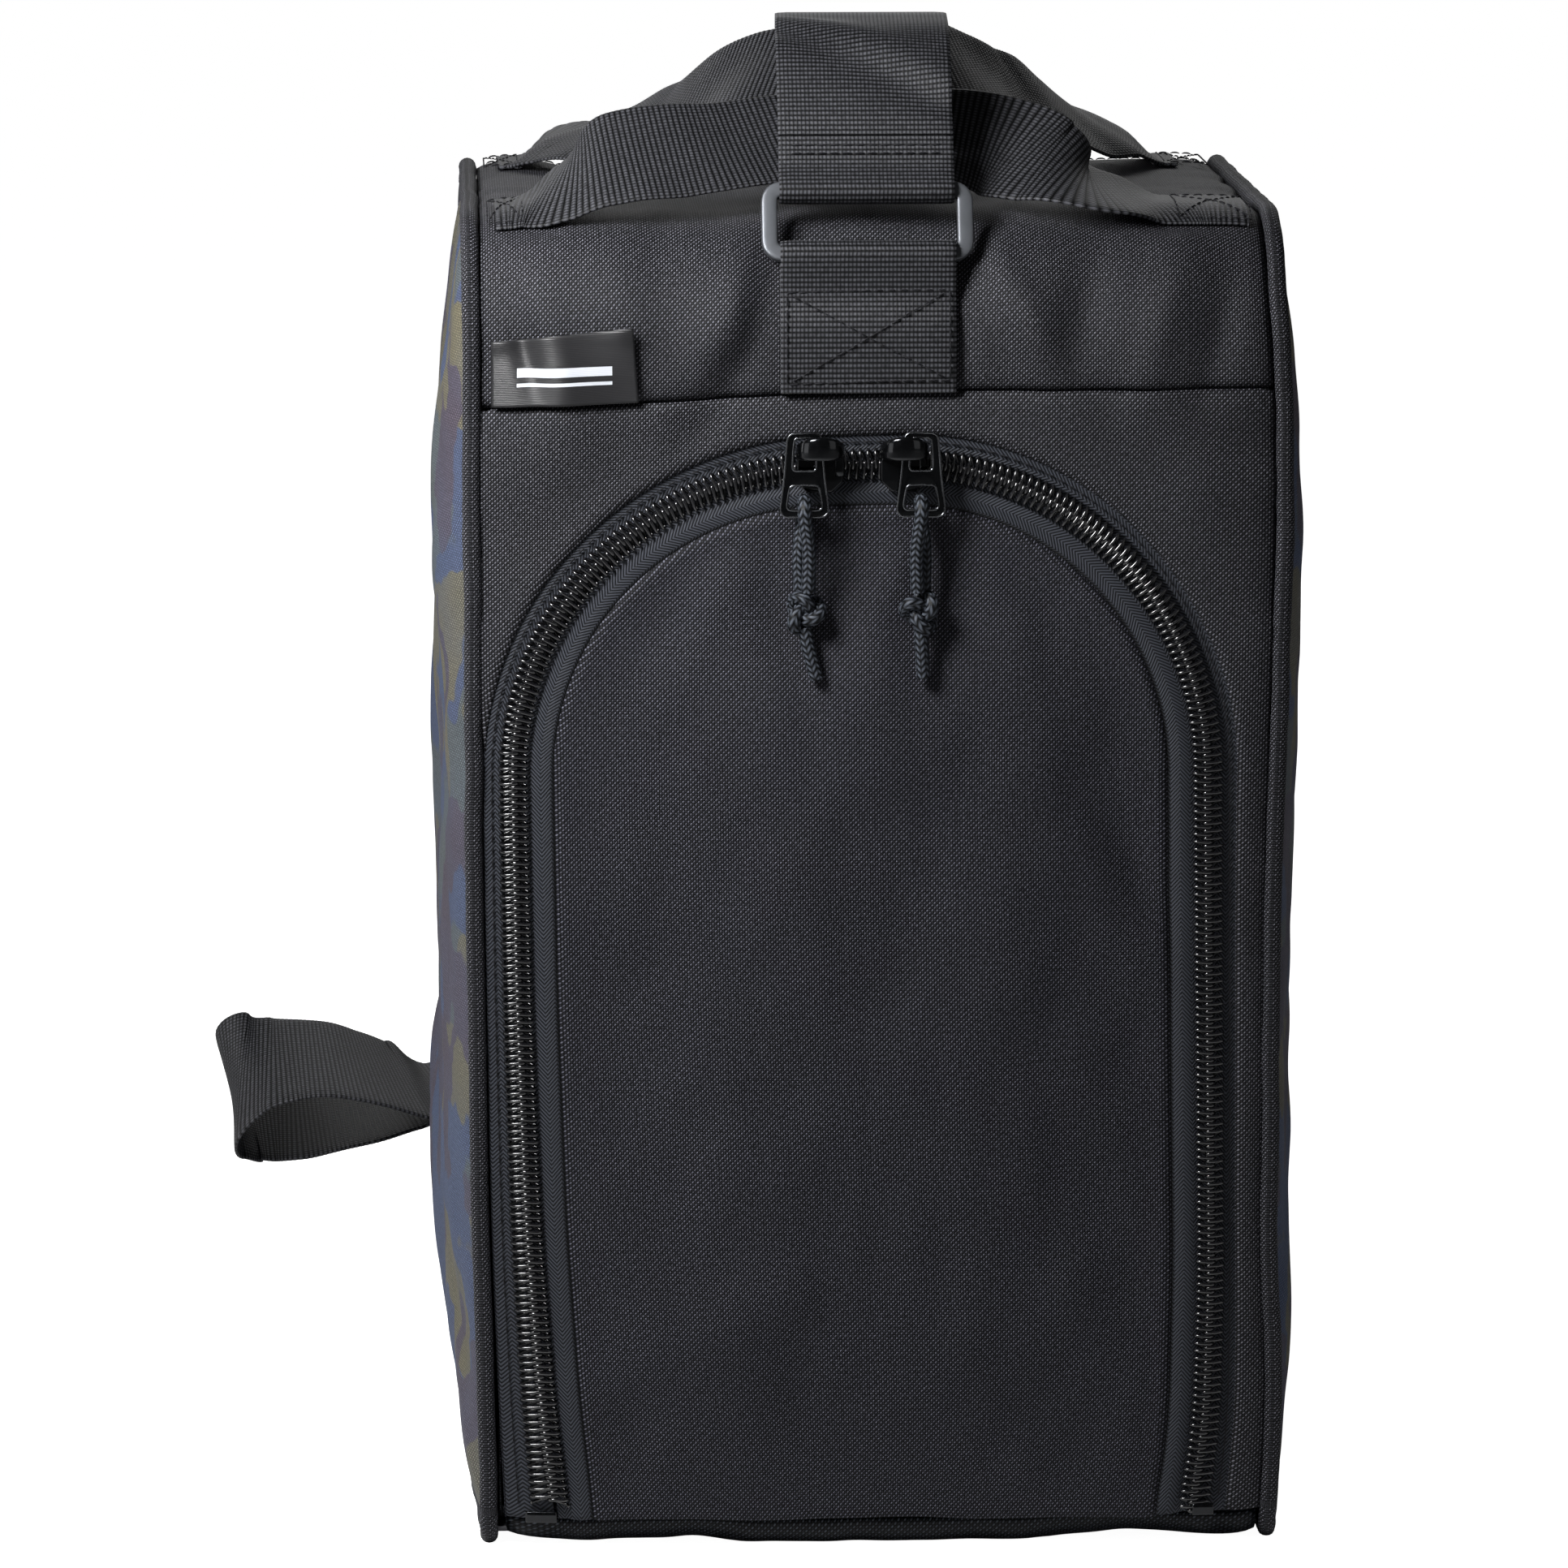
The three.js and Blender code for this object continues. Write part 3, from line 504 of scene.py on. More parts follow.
class Nodes:
    """Short calls for building a node tree."""

    def __init__(self, tree):
        self.tree = tree

    def add(self, kind, **settings):
        node = self.tree.nodes.new(kind)
        for key, value in settings.items():
            setattr(node, key, value)
        return node

    def link(self, source, target):
        self.tree.links.new(source, target)

    def put(self, socket, value):
        if isinstance(value, bpy.types.NodeSocket):
            self.link(value, socket)
        else:
            socket.default_value = value

    def math(self, operation, a, b=None, c=None, clamp=False):
        node = self.add("ShaderNodeMath", operation=operation, use_clamp=clamp)
        for socket, value in zip(node.inputs, (a, b, c)):
            if value is not None:
                self.put(socket, value)
        return node.outputs[0]

    def product(self, a, b):
        return self.math("MULTIPLY", a, b)

    def ridges(self, value, pitch):
        """Rounded ridges from 0 to 1, one each pitch."""
        return self.math("ABSOLUTE", self.math("SINE", self.product(value, math.pi / pitch)))

    def uv(self):
        node = self.add("ShaderNodeUVMap", uv_map="cloth")
        split = self.add("ShaderNodeSeparateXYZ")
        self.link(node.outputs[0], split.inputs[0])
        return node.outputs[0], split.outputs[0], split.outputs[1]

    def noise(self, vector, scale, detail=3.0, roughness=0.5):
        node = self.add("ShaderNodeTexNoise")
        self.put(node.inputs["Vector"], vector)
        node.inputs["Scale"].default_value = scale
        node.inputs["Detail"].default_value = detail
        node.inputs["Roughness"].default_value = roughness
        return node.outputs["Fac"]

    def mix(self, factor, a, b, blend="MIX"):
        node = self.add("ShaderNodeMix", data_type="RGBA", blend_type=blend)
        self.put(node.inputs[0], factor)
        self.put(node.inputs[6], a)
        self.put(node.inputs[7], b)
        return node.outputs[2]

    def spread(self, value, low, high, to_low, to_high):
        node = self.add("ShaderNodeMapRange")
        for socket, number in zip(node.inputs, (value, low, high, to_low, to_high)):
            self.put(socket, number)
        return node.outputs[0]

    def bump(self, height, distance, strength):
        node = self.add("ShaderNodeBump")
        node.inputs["Strength"].default_value = strength
        node.inputs["Distance"].default_value = distance
        self.link(height, node.inputs["Height"])
        return node.outputs[0]


def rgba(colour, scale=1.0):
    """A colour with its alpha, made brighter or darker by scale."""
    return tuple(min(1.0, c * scale) for c in colour) + (1.0,)


def finish_woven(nodes, shader, base, roughness, specular):
    """Colour and gloss of a woven surface."""
    nodes.link(base, shader.inputs["Base Color"])
    shader.inputs["Roughness"].default_value = roughness
    shader.inputs["Specular IOR Level"].default_value = specular


def emboss(nodes, shader, height, depth, strength):
    """Relief that only bends the light; depth is in metres."""
    nodes.link(nodes.bump(height, depth, strength), shader.inputs["Normal"])


SLANT = 0.45  # how far a thread leans across its cell, which draws the cloth's diagonals


def plain_weave(nodes, u, v, pitch):
    """(height, brightness), both 0 to 1, of a plain weave with leaning threads."""
    b = nodes.math("DIVIDE", v, pitch)
    lean = nodes.product(nodes.math("FRACT", b), SLANT)
    a = nodes.math("SUBTRACT", nodes.math("DIVIDE", u, pitch), lean)
    cells = nodes.math("ADD", nodes.math("FLOOR", a), nodes.math("FLOOR", b))
    parity = nodes.math("MODULO", nodes.math("ABSOLUTE", cells), 2.0)
    hump_a, hump_b = nodes.ridges(a, 1), nodes.ridges(b, 1)
    hump = nodes.product(nodes.math("POWER", hump_a, 1.5), nodes.math("POWER", hump_b, 0.7))
    return hump, nodes.product(hump, nodes.spread(parity, 0.0, 1.0, 1.0, 0.3))


def tinted(nodes, base, tone):
    """A colour multiplied by a brightness."""
    grey = nodes.add("ShaderNodeCombineColor")
    for socket in grey.inputs[:3]:
        nodes.link(tone, socket)
    return nodes.mix(1.0, base, grey.outputs[0], "MULTIPLY")


def cloth_material(name, colour, pitch=0.72, roughness=0.6, shade=(0.05, 7.0), paint=None):
    """Woven cloth whose threads' crests carry painted highlights; paint, if given, makes the base colour
    from (nodes, vector).
    """
    material, tree, shader = new_material(name)
    nodes = Nodes(tree)
    vector, u, v = nodes.uv()
    height, bright = plain_weave(nodes, u, v, pitch)
    base = paint(nodes, vector) if paint else rgba(colour)
    worn = nodes.noise(vector, 0.03, 4.0)
    base = nodes.mix(nodes.spread(worn, 0.3, 0.75, 0.0, 0.35), base, rgba(colour, 1.5))
    fleck = nodes.spread(nodes.noise(vector, 0.9, 2.0), 0.3, 0.7, 0.5, 1.5)
    # Painted highlight: the threads' crests are lightened up to shade[1] times the base colour, standing in
    # for the threads' glints; the weave under it is real.
    painted_highlight = nodes.product(nodes.math("POWER", bright, 1.5), fleck)
    base = tinted(nodes, base, nodes.spread(painted_highlight, 0.0, 1.0, *shade))
    finish_woven(nodes, shader, base, roughness, 0.12)
    emboss(nodes, shader, height, 0.00016, 0.7)
    return material


def camo_paint(nodes, vector):
    """Four muted patches: slate, grey-green, olive and plum."""
    warp = nodes.add("ShaderNodeVectorMath", operation="ADD")
    shift = nodes.add("ShaderNodeTexNoise")
    nodes.link(vector, shift.inputs["Vector"])
    shift.inputs["Scale"].default_value = 0.05
    scaled = nodes.add("ShaderNodeVectorMath", operation="SCALE")
    nodes.link(shift.outputs["Color"], scaled.inputs[0])
    scaled.inputs["Scale"].default_value = 22
    nodes.link(vector, warp.inputs[0])
    nodes.link(scaled.outputs[0], warp.inputs[1])
    colours = [(0.052, 0.066, 0.115), (0.070, 0.080, 0.082), (0.105, 0.095, 0.062), (0.060, 0.050, 0.066)]
    base = rgba(colours[0])
    for i, colour in enumerate(colours[1:]):
        moved = nodes.add("ShaderNodeVectorMath", operation="ADD")
        nodes.link(warp.outputs[0], moved.inputs[0])
        moved.inputs[1].default_value = (137.0 * (i + 1), 61.0 * (i + 1), 0)
        patch = nodes.noise(moved.outputs[0], 0.021 + 0.006 * i, 1.5, 0.4)
        base = nodes.mix(nodes.spread(patch, 0.535, 0.55, 0.0, 1.0), base, rgba(colour))
    return base


def webbing_material(name, colour, rib):
    """Ribs across the strip, each a row of small beads where the warp rises, with painted highlights on the
    beads.
    """
    material, tree, shader = new_material(name)
    nodes = Nodes(tree)
    vector, u, v = nodes.uv()
    strands = nodes.ridges(v, BEAD)
    ribs = nodes.ridges(u, rib)
    height = nodes.product(nodes.math("POWER", ribs, 0.9), nodes.spread(strands, 0.0, 1.0, 0.35, 1.0))
    fleck = nodes.spread(nodes.noise(vector, 0.7, 2.0), 0.3, 0.7, 0.65, 1.35)
    # Painted highlight: the beads' crests are lightened up to 4.2 times the base colour, standing in for
    # their glints; the ribs and beads are real.
    painted_highlight = nodes.product(nodes.math("POWER", height, 2.0), fleck)
    worn = nodes.spread(nodes.noise(vector, 0.06, 4.0), 0.35, 0.75, 0.0, 0.5)
    base = nodes.mix(worn, rgba(colour), rgba(colour, 1.4))
    base = tinted(nodes, base, nodes.spread(painted_highlight, 0.0, 1.0, 0.06, 4.2))
    finish_woven(nodes, shader, base, 0.5, 0.15)
    emboss(nodes, shader, height, 0.00025, 0.8)
    return material


def herringbone_material(name, colour):
    """Zip tape, with a painted shadow where it goes under the flap's cloth."""
    material, tree, shader = new_material(name)
    nodes = Nodes(tree)
    _, u, v = nodes.uv()
    zigzag = nodes.product(nodes.math("PINGPONG", v, 2.6), 1.2)
    height = nodes.ridges(nodes.math("ADD", u, zigzag), 1.2)
    tone = nodes.spread(nodes.math("POWER", height, 2.0), 0.0, 1.0, 0.15, 2.2)
    # Painted shadow: the inner tape darkens towards its edge, where it goes under the flap's cloth.
    shadow = nodes.spread(nodes.math("ABSOLUTE", v), INNER_TAPE - 1.6, INNER_TAPE - 0.7, 1.0, 0.08)
    base = tinted(nodes, rgba(colour), nodes.product(tone, shadow))
    finish_woven(nodes, shader, base, 0.6, 0.15)
    emboss(nodes, shader, height, 0.0002, 0.8)
    return material


def hard_material(name, colour, roughness, metallic, coat=0.0, grain=0.08):
    """Metal or plastic with faint scuffs that vary its gloss."""
    material, tree, shader = new_material(name)
    nodes = Nodes(tree)
    place = nodes.add("ShaderNodeTexCoord").outputs["Object"]
    scuffs = nodes.noise(place, 900.0, 4.0, 0.6)
    gloss = nodes.spread(scuffs, 0.3, 0.7, roughness - grain, roughness + grain)
    nodes.link(gloss, shader.inputs["Roughness"])
    wide = nodes.noise(place, 180.0, 3.0)
    base = nodes.mix(nodes.spread(wide, 0.35, 0.7, 0.0, 0.5), rgba(colour), rgba(colour, 1.35))
    nodes.link(base, shader.inputs["Base Color"])
    shader.inputs["Metallic"].default_value = metallic
    shader.inputs["Coat Weight"].default_value = coat
    emboss(nodes, shader, scuffs, 0.00003, 0.3)
    return material


def thread_material(name, colour):
    """Thread with a fuzz of lighter and darker fibres."""
    material, tree, shader = new_material(name)
    nodes = Nodes(tree)
    place = nodes.add("ShaderNodeTexCoord").outputs["Object"]
    fuzz = nodes.spread(nodes.noise(place, 2500.0, 2.0), 0.3, 0.7, 0.0, 1.0)
    base = nodes.mix(fuzz, rgba(colour, 0.6), rgba(colour, 1.3))
    finish_woven(nodes, shader, base, 0.6, 0.12)
    return material


def braid_material(name, colour):
    """Strands that lean one way, then the other, in columns along the cord, with painted highlights on their
    crests.
    """
    material, tree, shader = new_material(name)
    nodes = Nodes(tree)
    _, u, v = nodes.uv()
    column = nodes.math("DIVIDE", v, 2 * math.pi * CORD_RADIUS / BRAID_COLUMNS)
    lean = nodes.product(nodes.math("PINGPONG", column, 1.0), BRAID_LEAN)
    strand = nodes.ridges(nodes.math("ADD", nodes.math("DIVIDE", u, BRAID_PITCH), lean), 1)
    rounded = nodes.ridges(column, 1)
    bead = nodes.product(nodes.math("POWER", strand, 2.5), nodes.math("POWER", rounded, 0.6))
    # Painted highlight: the strands' crests are lightened up to five times the black base colour.
    base = tinted(nodes, rgba(colour), nodes.spread(bead, 0.0, 1.0, 0.05, 5.0))
    finish_woven(nodes, shader, base, 0.5, 0.15)
    emboss(nodes, shader, bead, 0.0002, 0.6)
    return material


LABEL_STRIPES = ((9.0, 11.6), (6.4, 7.4))  # heights, low to high
STRIPE_ENDS = (7.0, 34.0)


def label_material():
    """Black satin with two plain pale stripes."""
    material, tree, shader = new_material("label")
    nodes = Nodes(tree)
    _, u, v = nodes.uv()

    def between(value, ends):
        above = nodes.math("GREATER_THAN", value, ends[0])
        return nodes.product(above, nodes.math("LESS_THAN", value, ends[1]))

    heights = nodes.math("ADD", *[between(v, ends) for ends in LABEL_STRIPES], clamp=True)
    satin = nodes.math("SINE", nodes.product(v, 18.0))
    dark, light = rgba((0.005, 0.005, 0.006)), rgba((0.009, 0.009, 0.011))
    base = nodes.mix(nodes.spread(satin, -1.0, 1.0, 0.0, 1.0), dark, light)
    base = nodes.mix(nodes.product(between(u, STRIPE_ENDS), heights), base, rgba((0.55, 0.57, 0.62)))
    nodes.link(base, shader.inputs["Base Color"])
    shader.inputs["Roughness"].default_value = 0.42
    emboss(nodes, shader, satin, 0.00005, 0.5)
    return material


BRAID_COLUMNS = 8
BRAID_PITCH = 1.9
BRAID_LEAN = 0.8
GUSSET = (0.0222, 0.0223, 0.0260)
FLAP = (0.0185, 0.0187, 0.0235)
CAMO = (0.039, 0.055, 0.092)
BASE = (0.008, 0.009, 0.011)
LINING = (0.045, 0.047, 0.055)
WEBBING_COLOUR = (0.0152, 0.0155, 0.0175)
RIB = 1.45
HANDLE_RIB = 1.65
BEAD = 1.15

mat_gusset = cloth_material("gusset_cloth", GUSSET)
mat_flap = cloth_material("flap_cloth", FLAP)
mat_camo = cloth_material("camo_cloth", CAMO, paint=camo_paint, shade=(0.6, 3.0))
mat_base = cloth_material("base_cloth", BASE, pitch=1.0, roughness=0.4)
mat_lining = cloth_material("lining_cloth", LINING, pitch=0.4, roughness=0.5)
mat_webbing = webbing_material("webbing", WEBBING_COLOUR, RIB)
mat_handle = webbing_material("handle_webbing", WEBBING_COLOUR, HANDLE_RIB)
mat_tape = herringbone_material("zip_tape", (0.024, 0.026, 0.032))
mat_coil = hard_material("zip_coil", (0.006, 0.006, 0.007), 0.17, 0.0, coat=0.8, grain=0.05)
mat_slider = hard_material("slider_metal", (0.012, 0.013, 0.015), 0.2, 0.9, coat=0.5)
mat_ring = hard_material("ring_metal", (0.085, 0.09, 0.10), 0.42, 0.55, grain=0.04)
# Painted highlight: the pullers' rims are the same black metal as the plate, coloured light grey for their
# highlights.
mat_painted_rim_highlight = hard_material("slider_rim_painted_highlight", (0.14, 0.145, 0.155), 0.25, 1.0)
mat_label = label_material()
mat_thread = thread_material("thread", (0.012, 0.012, 0.014))
mat_cord = braid_material("paracord", (0.016, 0.018, 0.022))


# ---- Stitching ----
STITCH = 2.9
STITCH_GAP = 0.7
THREAD_RADIUS = 0.26
HANDLE_STITCH_HALF = 16.5
TAB_STITCH_HALF = 23.2
SEAM_STITCH_HALF = 111  # a row across the front or top stops here on either side
STITCH_RINGS = 5
STITCH_SIDES = 5


def stitch_rows(name, lines, body, slot_name):
    """Rows of separate stitches; each line is (points, normals) on the cloth's surface."""
    rings, sides = STITCH_RINGS, STITCH_SIDES
    all_points, all_quads, start = [], [], 0
    shape = np.linspace(0, 1, rings)
    for line, normals in lines:
        length = lengths_along(line)
        count = int(length[-1] // (STITCH + STITCH_GAP))
        if count < 1:
            continue
        first = (length[-1] - count * (STITCH + STITCH_GAP) + STITCH_GAP) / 2
        at = first + np.arange(count)[:, None] * (STITCH + STITCH_GAP) + shape[None] * STITCH
        where = np.stack([np.interp(at, length, line[:, k]) for k in range(3)], -1)
        up = unit(np.stack([np.interp(at, length, normals[:, k]) for k in range(3)], -1))
        along = unit(where[:, -1:] - where[:, :1])
        side = unit(np.cross(along, up))
        lift = THREAD_RADIUS * (1.1 * np.sin(math.pi * shape) ** 0.5 - 0.55)
        centre = where + up * lift[None, :, None]
        radius = THREAD_RADIUS * (0.45 + 0.55 * np.sin(math.pi * shape) ** 0.4)
        turn = np.arange(sides) * 2 * math.pi / sides
        ring = np.cos(turn)[:, None] * side[:, :, None] + np.sin(turn)[:, None] * up[:, :, None]
        points = centre[:, :, None] + ring * radius[None, :, None, None]
        quads = grid_quads(rings, sides, wrap_columns=True)
        for k in range(count):
            all_quads.append(quads + start + k * rings * sides)
        all_points.append(points.reshape(-1, 3))
        start += count * rings * sides
    piece = mesh_object(name, np.concatenate(all_points), np.concatenate(all_quads), None, mat_thread)
    return assign(piece, body, slot_name)


def gusset_stitches(name, routes, slot_name="gusset_cloth", off=0.1, body="root"):
    """Stitching on the swollen gusset along routes of (x, s)."""
    lines = []
    for route in routes:
        fine = resample(np.asarray(route, float), 1.0)
        lines.append((on_gusset(fine[:, 0], fine[:, 1], off), gusset_normal(fine[:, 0], fine[:, 1])))
    return stitch_rows(name, lines, body, slot_name)


# ---- Gusset panels ----
SEAM_SINK = 1.2  # how far a seamed edge turns in
SEAM_ROLL = 1.6  # over what width it does so


def make_gusset_sheet(name, s_from, s_to, material, slot_name, node):
    """A rectangle of the gusset between two seams, whose seam edges turn in."""
    s = np.linspace(s_from, s_to, int((s_to - s_from) / 2))[:, None]
    x = np.linspace(-GUSSET_HALF, GUSSET_HALF, 120)[None]
    edge = np.minimum(s - s_from, s_to - s)
    points = on_gusset(x, s, -SEAM_SINK * np.exp(-edge / SEAM_ROLL))
    uv = np.stack(np.broadcast_arrays(x, s), -1)
    assign(grid_piece(name, points, uv, material, flip=True), "root", slot_name, node)


def make_gusset_sheets():
    """Top, back and base; the base ends at the seam with the front."""
    base_end = OUTLINE_S[0] + OUTLINE_LENGTH - (CORNER_RADII[0] - BASE_SEAM_Z) - SEAM_GAP
    top_start = YOKE_Z + SEAM_GAP
    make_gusset_sheet("top_cloth", top_start, TOP_SEAM_S, mat_gusset, "gusset_cloth", "top_panel")
    make_gusset_sheet("back_cloth", TOP_SEAM_S, BACK_SEAM_S, mat_gusset, "gusset_cloth", "back_panel")
    make_gusset_sheet("base_cloth", BACK_SEAM_S, base_end, mat_base, "base_cloth", "base_panel")


# ---- Zip arch ----
def arch_line(step=1.0):
    """(x, z, outward x, outward z, distance) along the chain's middle, left foot to right foot."""
    low = BASE_SEAM_Z + 0.4
    leg = np.arange(low, ZIP_SPRING, step)
    quarter = np.linspace(0, math.pi / 2, int(ZIP_CORNER_RADIUS * math.pi / 2 / step))
    flat = np.linspace(-ZIP_FLAT, ZIP_FLAT, int(2 * ZIP_FLAT / step))[1:-1]
    left = [np.full_like(leg, ZIP_X - ZIP_HALF_WIDTH), leg, -np.ones_like(leg), 0 * leg]
    rise = [
        ZIP_X - ZIP_FLAT - ZIP_CORNER_RADIUS * np.cos(quarter),
        ZIP_SPRING + ZIP_CORNER_RADIUS * np.sin(quarter),
        -np.cos(quarter),
        np.sin(quarter),
    ]
    top = [ZIP_X + flat, np.full_like(flat, ZIP_TOP), 0 * flat, np.ones_like(flat)]
    half = np.concatenate([np.array(left), np.array(rise)], 1)
    mirrored = half[:, ::-1].copy()
    mirrored[0] = 2 * ZIP_X - mirrored[0]
    mirrored[2] = -mirrored[2]
    line = np.concatenate([half, np.array(top), mirrored], 1).T
    length = lengths_along(line[:, :2])
    return line, length


ARCH, ARCH_LENGTH = arch_line()


def arch_at(t, d):
    """(x, z) at distance t along the chain and d outwards from its middle."""
    columns = [np.interp(t, ARCH_LENGTH, ARCH[:, k]) for k in range(4)]
    return columns[0] + columns[2] * d, columns[1] + columns[3] * d


def make_tape(name, d_from, d_to, off, body, node, columns=10):
    """A tape that follows the zip; off(share) lifts it above the cloth."""
    t = np.arange(0, ARCH_LENGTH[-1], 1.5)[:, None]
    share = np.linspace(0, 1, columns)[None]
    d = d_from + (d_to - d_from) * share
    x, z = arch_at(t, d)
    x = np.clip(x, -GUSSET_HALF, GUSSET_HALF)
    points = on_gusset(x, z, off(share) + 0 * t)
    uv = np.stack(np.broadcast_arrays(t, d), -1)
    piece = grid_piece(name, points, uv, mat_tape, flip=d_to > d_from, thickness=TAPE_THICKNESS)
    assign(piece, body, "zip_tape", node)


NEARLY_ZERO = 1e-6
FAR = 1e9


def make_front_panel():
    """The cloth between the zip's outer tape and the seams."""
    t = np.arange(0, ARCH_LENGTH[-1], 2.0)
    x0, z0 = arch_at(t, OUTER_TAPE - 0.4)
    out_x, out_z = [np.interp(t, ARCH_LENGTH, ARCH[:, k]) for k in (2, 3)]
    top = YOKE_Z - SEAM_GAP
    to_side = (np.sign(out_x) * GUSSET_HALF - x0) / np.where(out_x == 0, 1, out_x)
    to_top = (top - z0) / np.maximum(out_z, NEARLY_ZERO)
    reach_x = np.where(np.abs(out_x) > NEARLY_ZERO, to_side, FAR)
    reach_z = np.where(out_z > NEARLY_ZERO, to_top, FAR)
    reach = np.maximum(np.minimum(reach_x, reach_z), 0.05)
    gone = reach[:, None] * np.linspace(0, 1, 40) ** 1.3
    x = np.clip(x0[:, None] + out_x[:, None] * gone, -GUSSET_HALF, GUSSET_HALF)
    z = z0[:, None] + out_z[:, None] * gone
    rolled = 0.9 * np.exp(-gone / 6) - np.exp(-gone / 0.9)
    seam = -SEAM_SINK * np.exp(-(top - z) / SEAM_ROLL)
    points = on_gusset(x, z, rolled + seam)
    uv = np.stack([x, z], -1)
    piece = grid_piece("front_cloth", points, uv, mat_gusset, flip=True, thickness=HEM_CLOTH)
    assign(piece, "root", "gusset_cloth", "front_panel")


def flap_fan(reach, lift):
    """Points from the arch at reach in to a spine up its middle; lift(distance from the rim) raises them."""
    t = np.linspace(0, ARCH_LENGTH[-1], 560)
    x1, z1 = arch_at(t, reach)
    spine_x = np.full_like(x1, ZIP_X)
    spine_z = np.minimum(z1, ZIP_SPRING)
    share = 1 - np.linspace(0, 1, 60) ** 1.15
    x = spine_x[:, None] + (x1 - spine_x)[:, None] * share
    z = spine_z[:, None] + (z1 - spine_z)[:, None] * share
    inward = np.hypot(x - x1[:, None], z - z1[:, None])
    return on_gusset(x, z, lift(inward)), np.stack([x, z], -1)


def make_flap():
    """The flap's cloth, with its rim turned in over the tape."""
    rolled = lambda inward: 1.3 * np.exp(-inward / 5) - 2.6 * np.exp(-inward / 0.7)
    points, uv = flap_fan(0.2 - INNER_TAPE, rolled)
    piece = weld(grid_piece("flap_cloth", points, uv, mat_flap, thickness=HEM_CLOTH), 0.05)
    assign(piece, "flap", "flap_cloth", "flap_panel")


def flat_tape(share):
    """The outer half lies flat, just below the cloth."""
    return -TAPE_SINK + 0 * share


def raised_tape(share):
    """The flap's half stands up in a ridge beyond the coil."""
    return -TAPE_SINK + 1.3 * np.sin(math.pi * np.clip(share * 1.25 - 0.3, 0, 1))


def make_tapes():
    """Each half of the tape, from beside the chain's middle to just under the cloth."""
    make_tape("outer_tape", 0.4, OUTER_TAPE + 1, flat_tape, "root", "body_zip_tape")
    make_tape("inner_tape", -0.4, -INNER_TAPE - 1, raised_tape, "flap", "flap_zip_tape", 16)


def arch_stitches(name, d, body, slot_name, off):
    """Stitching beside the zip, left out where the seam hides it."""
    x, z = arch_at(np.arange(4, ARCH_LENGTH[-1] - 4, 1.0), d)
    inside = np.abs(x) < SEAM_STITCH_HALF
    runs = np.split(np.arange(len(x)), np.where(np.diff(inside.astype(int)) != 0)[0] + 1)
    routes = [np.stack([x[run], z[run]], -1) for run in runs if inside[run[0]] and len(run) > 8]
    gusset_stitches(name, routes, slot_name, off, body)


COIL_PITCH = 2.2
COIL_WIRE = 0.48
COIL_SLANT = 0.55
COIL_CENTRE = 1.6
COIL_REACH = 2.6
COIL_RISE = 1.25
COIL_END = 4.5
COIL_STEPS = 16  # points a turn


def make_coil(name, side, body, node):
    """Half of the zip's chain: a flattened helix along it. side is 1 outside and -1 inside."""
    turns = int((ARCH_LENGTH[-1] - 5) / COIL_PITCH)
    turn = np.arange(turns * COIL_STEPS) / COIL_STEPS
    phase = -2 * math.pi * turn
    head = np.exp(-((1 + np.cos(phase)) / 0.45) ** 2)
    t = COIL_END + (turn + (0.5 if side > 0 else 0)) * COIL_PITCH - COIL_SLANT * np.cos(phase)
    d = side * (COIL_CENTRE + COIL_REACH * np.cos(phase))
    x, z = arch_at(t, d)
    lift = COIL_RISE * np.sin(phase) + 0.35 * head
    line = on_gusset(x, z, 1.15) + gusset_normal(*arch_at(t, 0)) * lift[:, None]
    ahead_x, ahead_z = arch_at(t + 0.5, 0)
    calm_x, calm_z = arch_at(t, 0)
    axis = unit(np.stack([ahead_x - calm_x, 0 * calm_x, ahead_z - calm_z], -1))
    radius = COIL_WIRE * (1 + 0.35 * head)[:, None]
    assign(tube_piece(name, line, radius, 6, axis, mat_coil), body, "zip_coil", node)


# ---- Piping and side panels ----
def piping_wave(s, side):
    """How far the piping strays sideways from its straight run."""
    y, z, _, _ = outline_at(s)
    slipped = slip(side * PIPING_X + 0 * s, y, z) * (1 - smooth_step(HEIGHT - 40, HEIGHT - 10, z))
    return slipped + side * 0.4 * noise(s / 17, side * 5.0, 12)


def make_piping(name, side):
    """A covered cord round the side, faintly wrung where its cloth was cut on the bias."""
    s = np.linspace(OUTLINE_S[0], OUTLINE_S[-1], 700)[:-1]
    y, z, ny, nz = outline_at(s)
    inset = 1.4 + 0.25 * noise(s / 12, side * 3.0, 13)
    line = np.stack([side * PIPING_X + piping_wave(s, side), y - ny * inset, z - nz * inset], -1)
    turn = np.arange(PIPING_SIDES)[None] / PIPING_SIDES
    s = s[:, None]
    fold = 0.10 * np.sin(2 * math.pi * (s / 7.5 + turn)) * noise(s / 30, turn * 0, 14)
    radius = PIPING_RADIUS * (1 + 0.03 * noise(s / 9, turn * 3, 15)) + fold
    piece = tube_piece(name + "_piping_cord", line, radius, PIPING_SIDES, (1, 0, 0), mat_gusset, closed=True)
    assign(piece, "root", "gusset_cloth", name + "_piping")


SIDE_CENTRE = np.array([-20.0, 180.0])
SIDE_BULGE = 9.5
SIDE_CLOTH = 1.2
CREASE_SHIFT = 14  # keeps the creases of the two sides from mirroring each other
# Creases of the sides as (y, z, along y, along z, length, width, depth).
SIDE_CREASES = [
    (-120, 300, 0.8, -0.6, 40, 9, -1.6),
    (-105, 285, 0.8, -0.6, 44, 8, 1.2),
    (20, 330, -0.3, -1.0, 40, 12, -1.5),
    (60, 120, 0.9, 0.35, 55, 12, -1.7),
    (70, 100, 0.9, 0.35, 50, 10, 1.1),
    (-110, 70, 0.7, 0.6, 45, 10, -1.4),
    (-40, 190, 0.4, 1.0, 60, 16, -1.6),
]


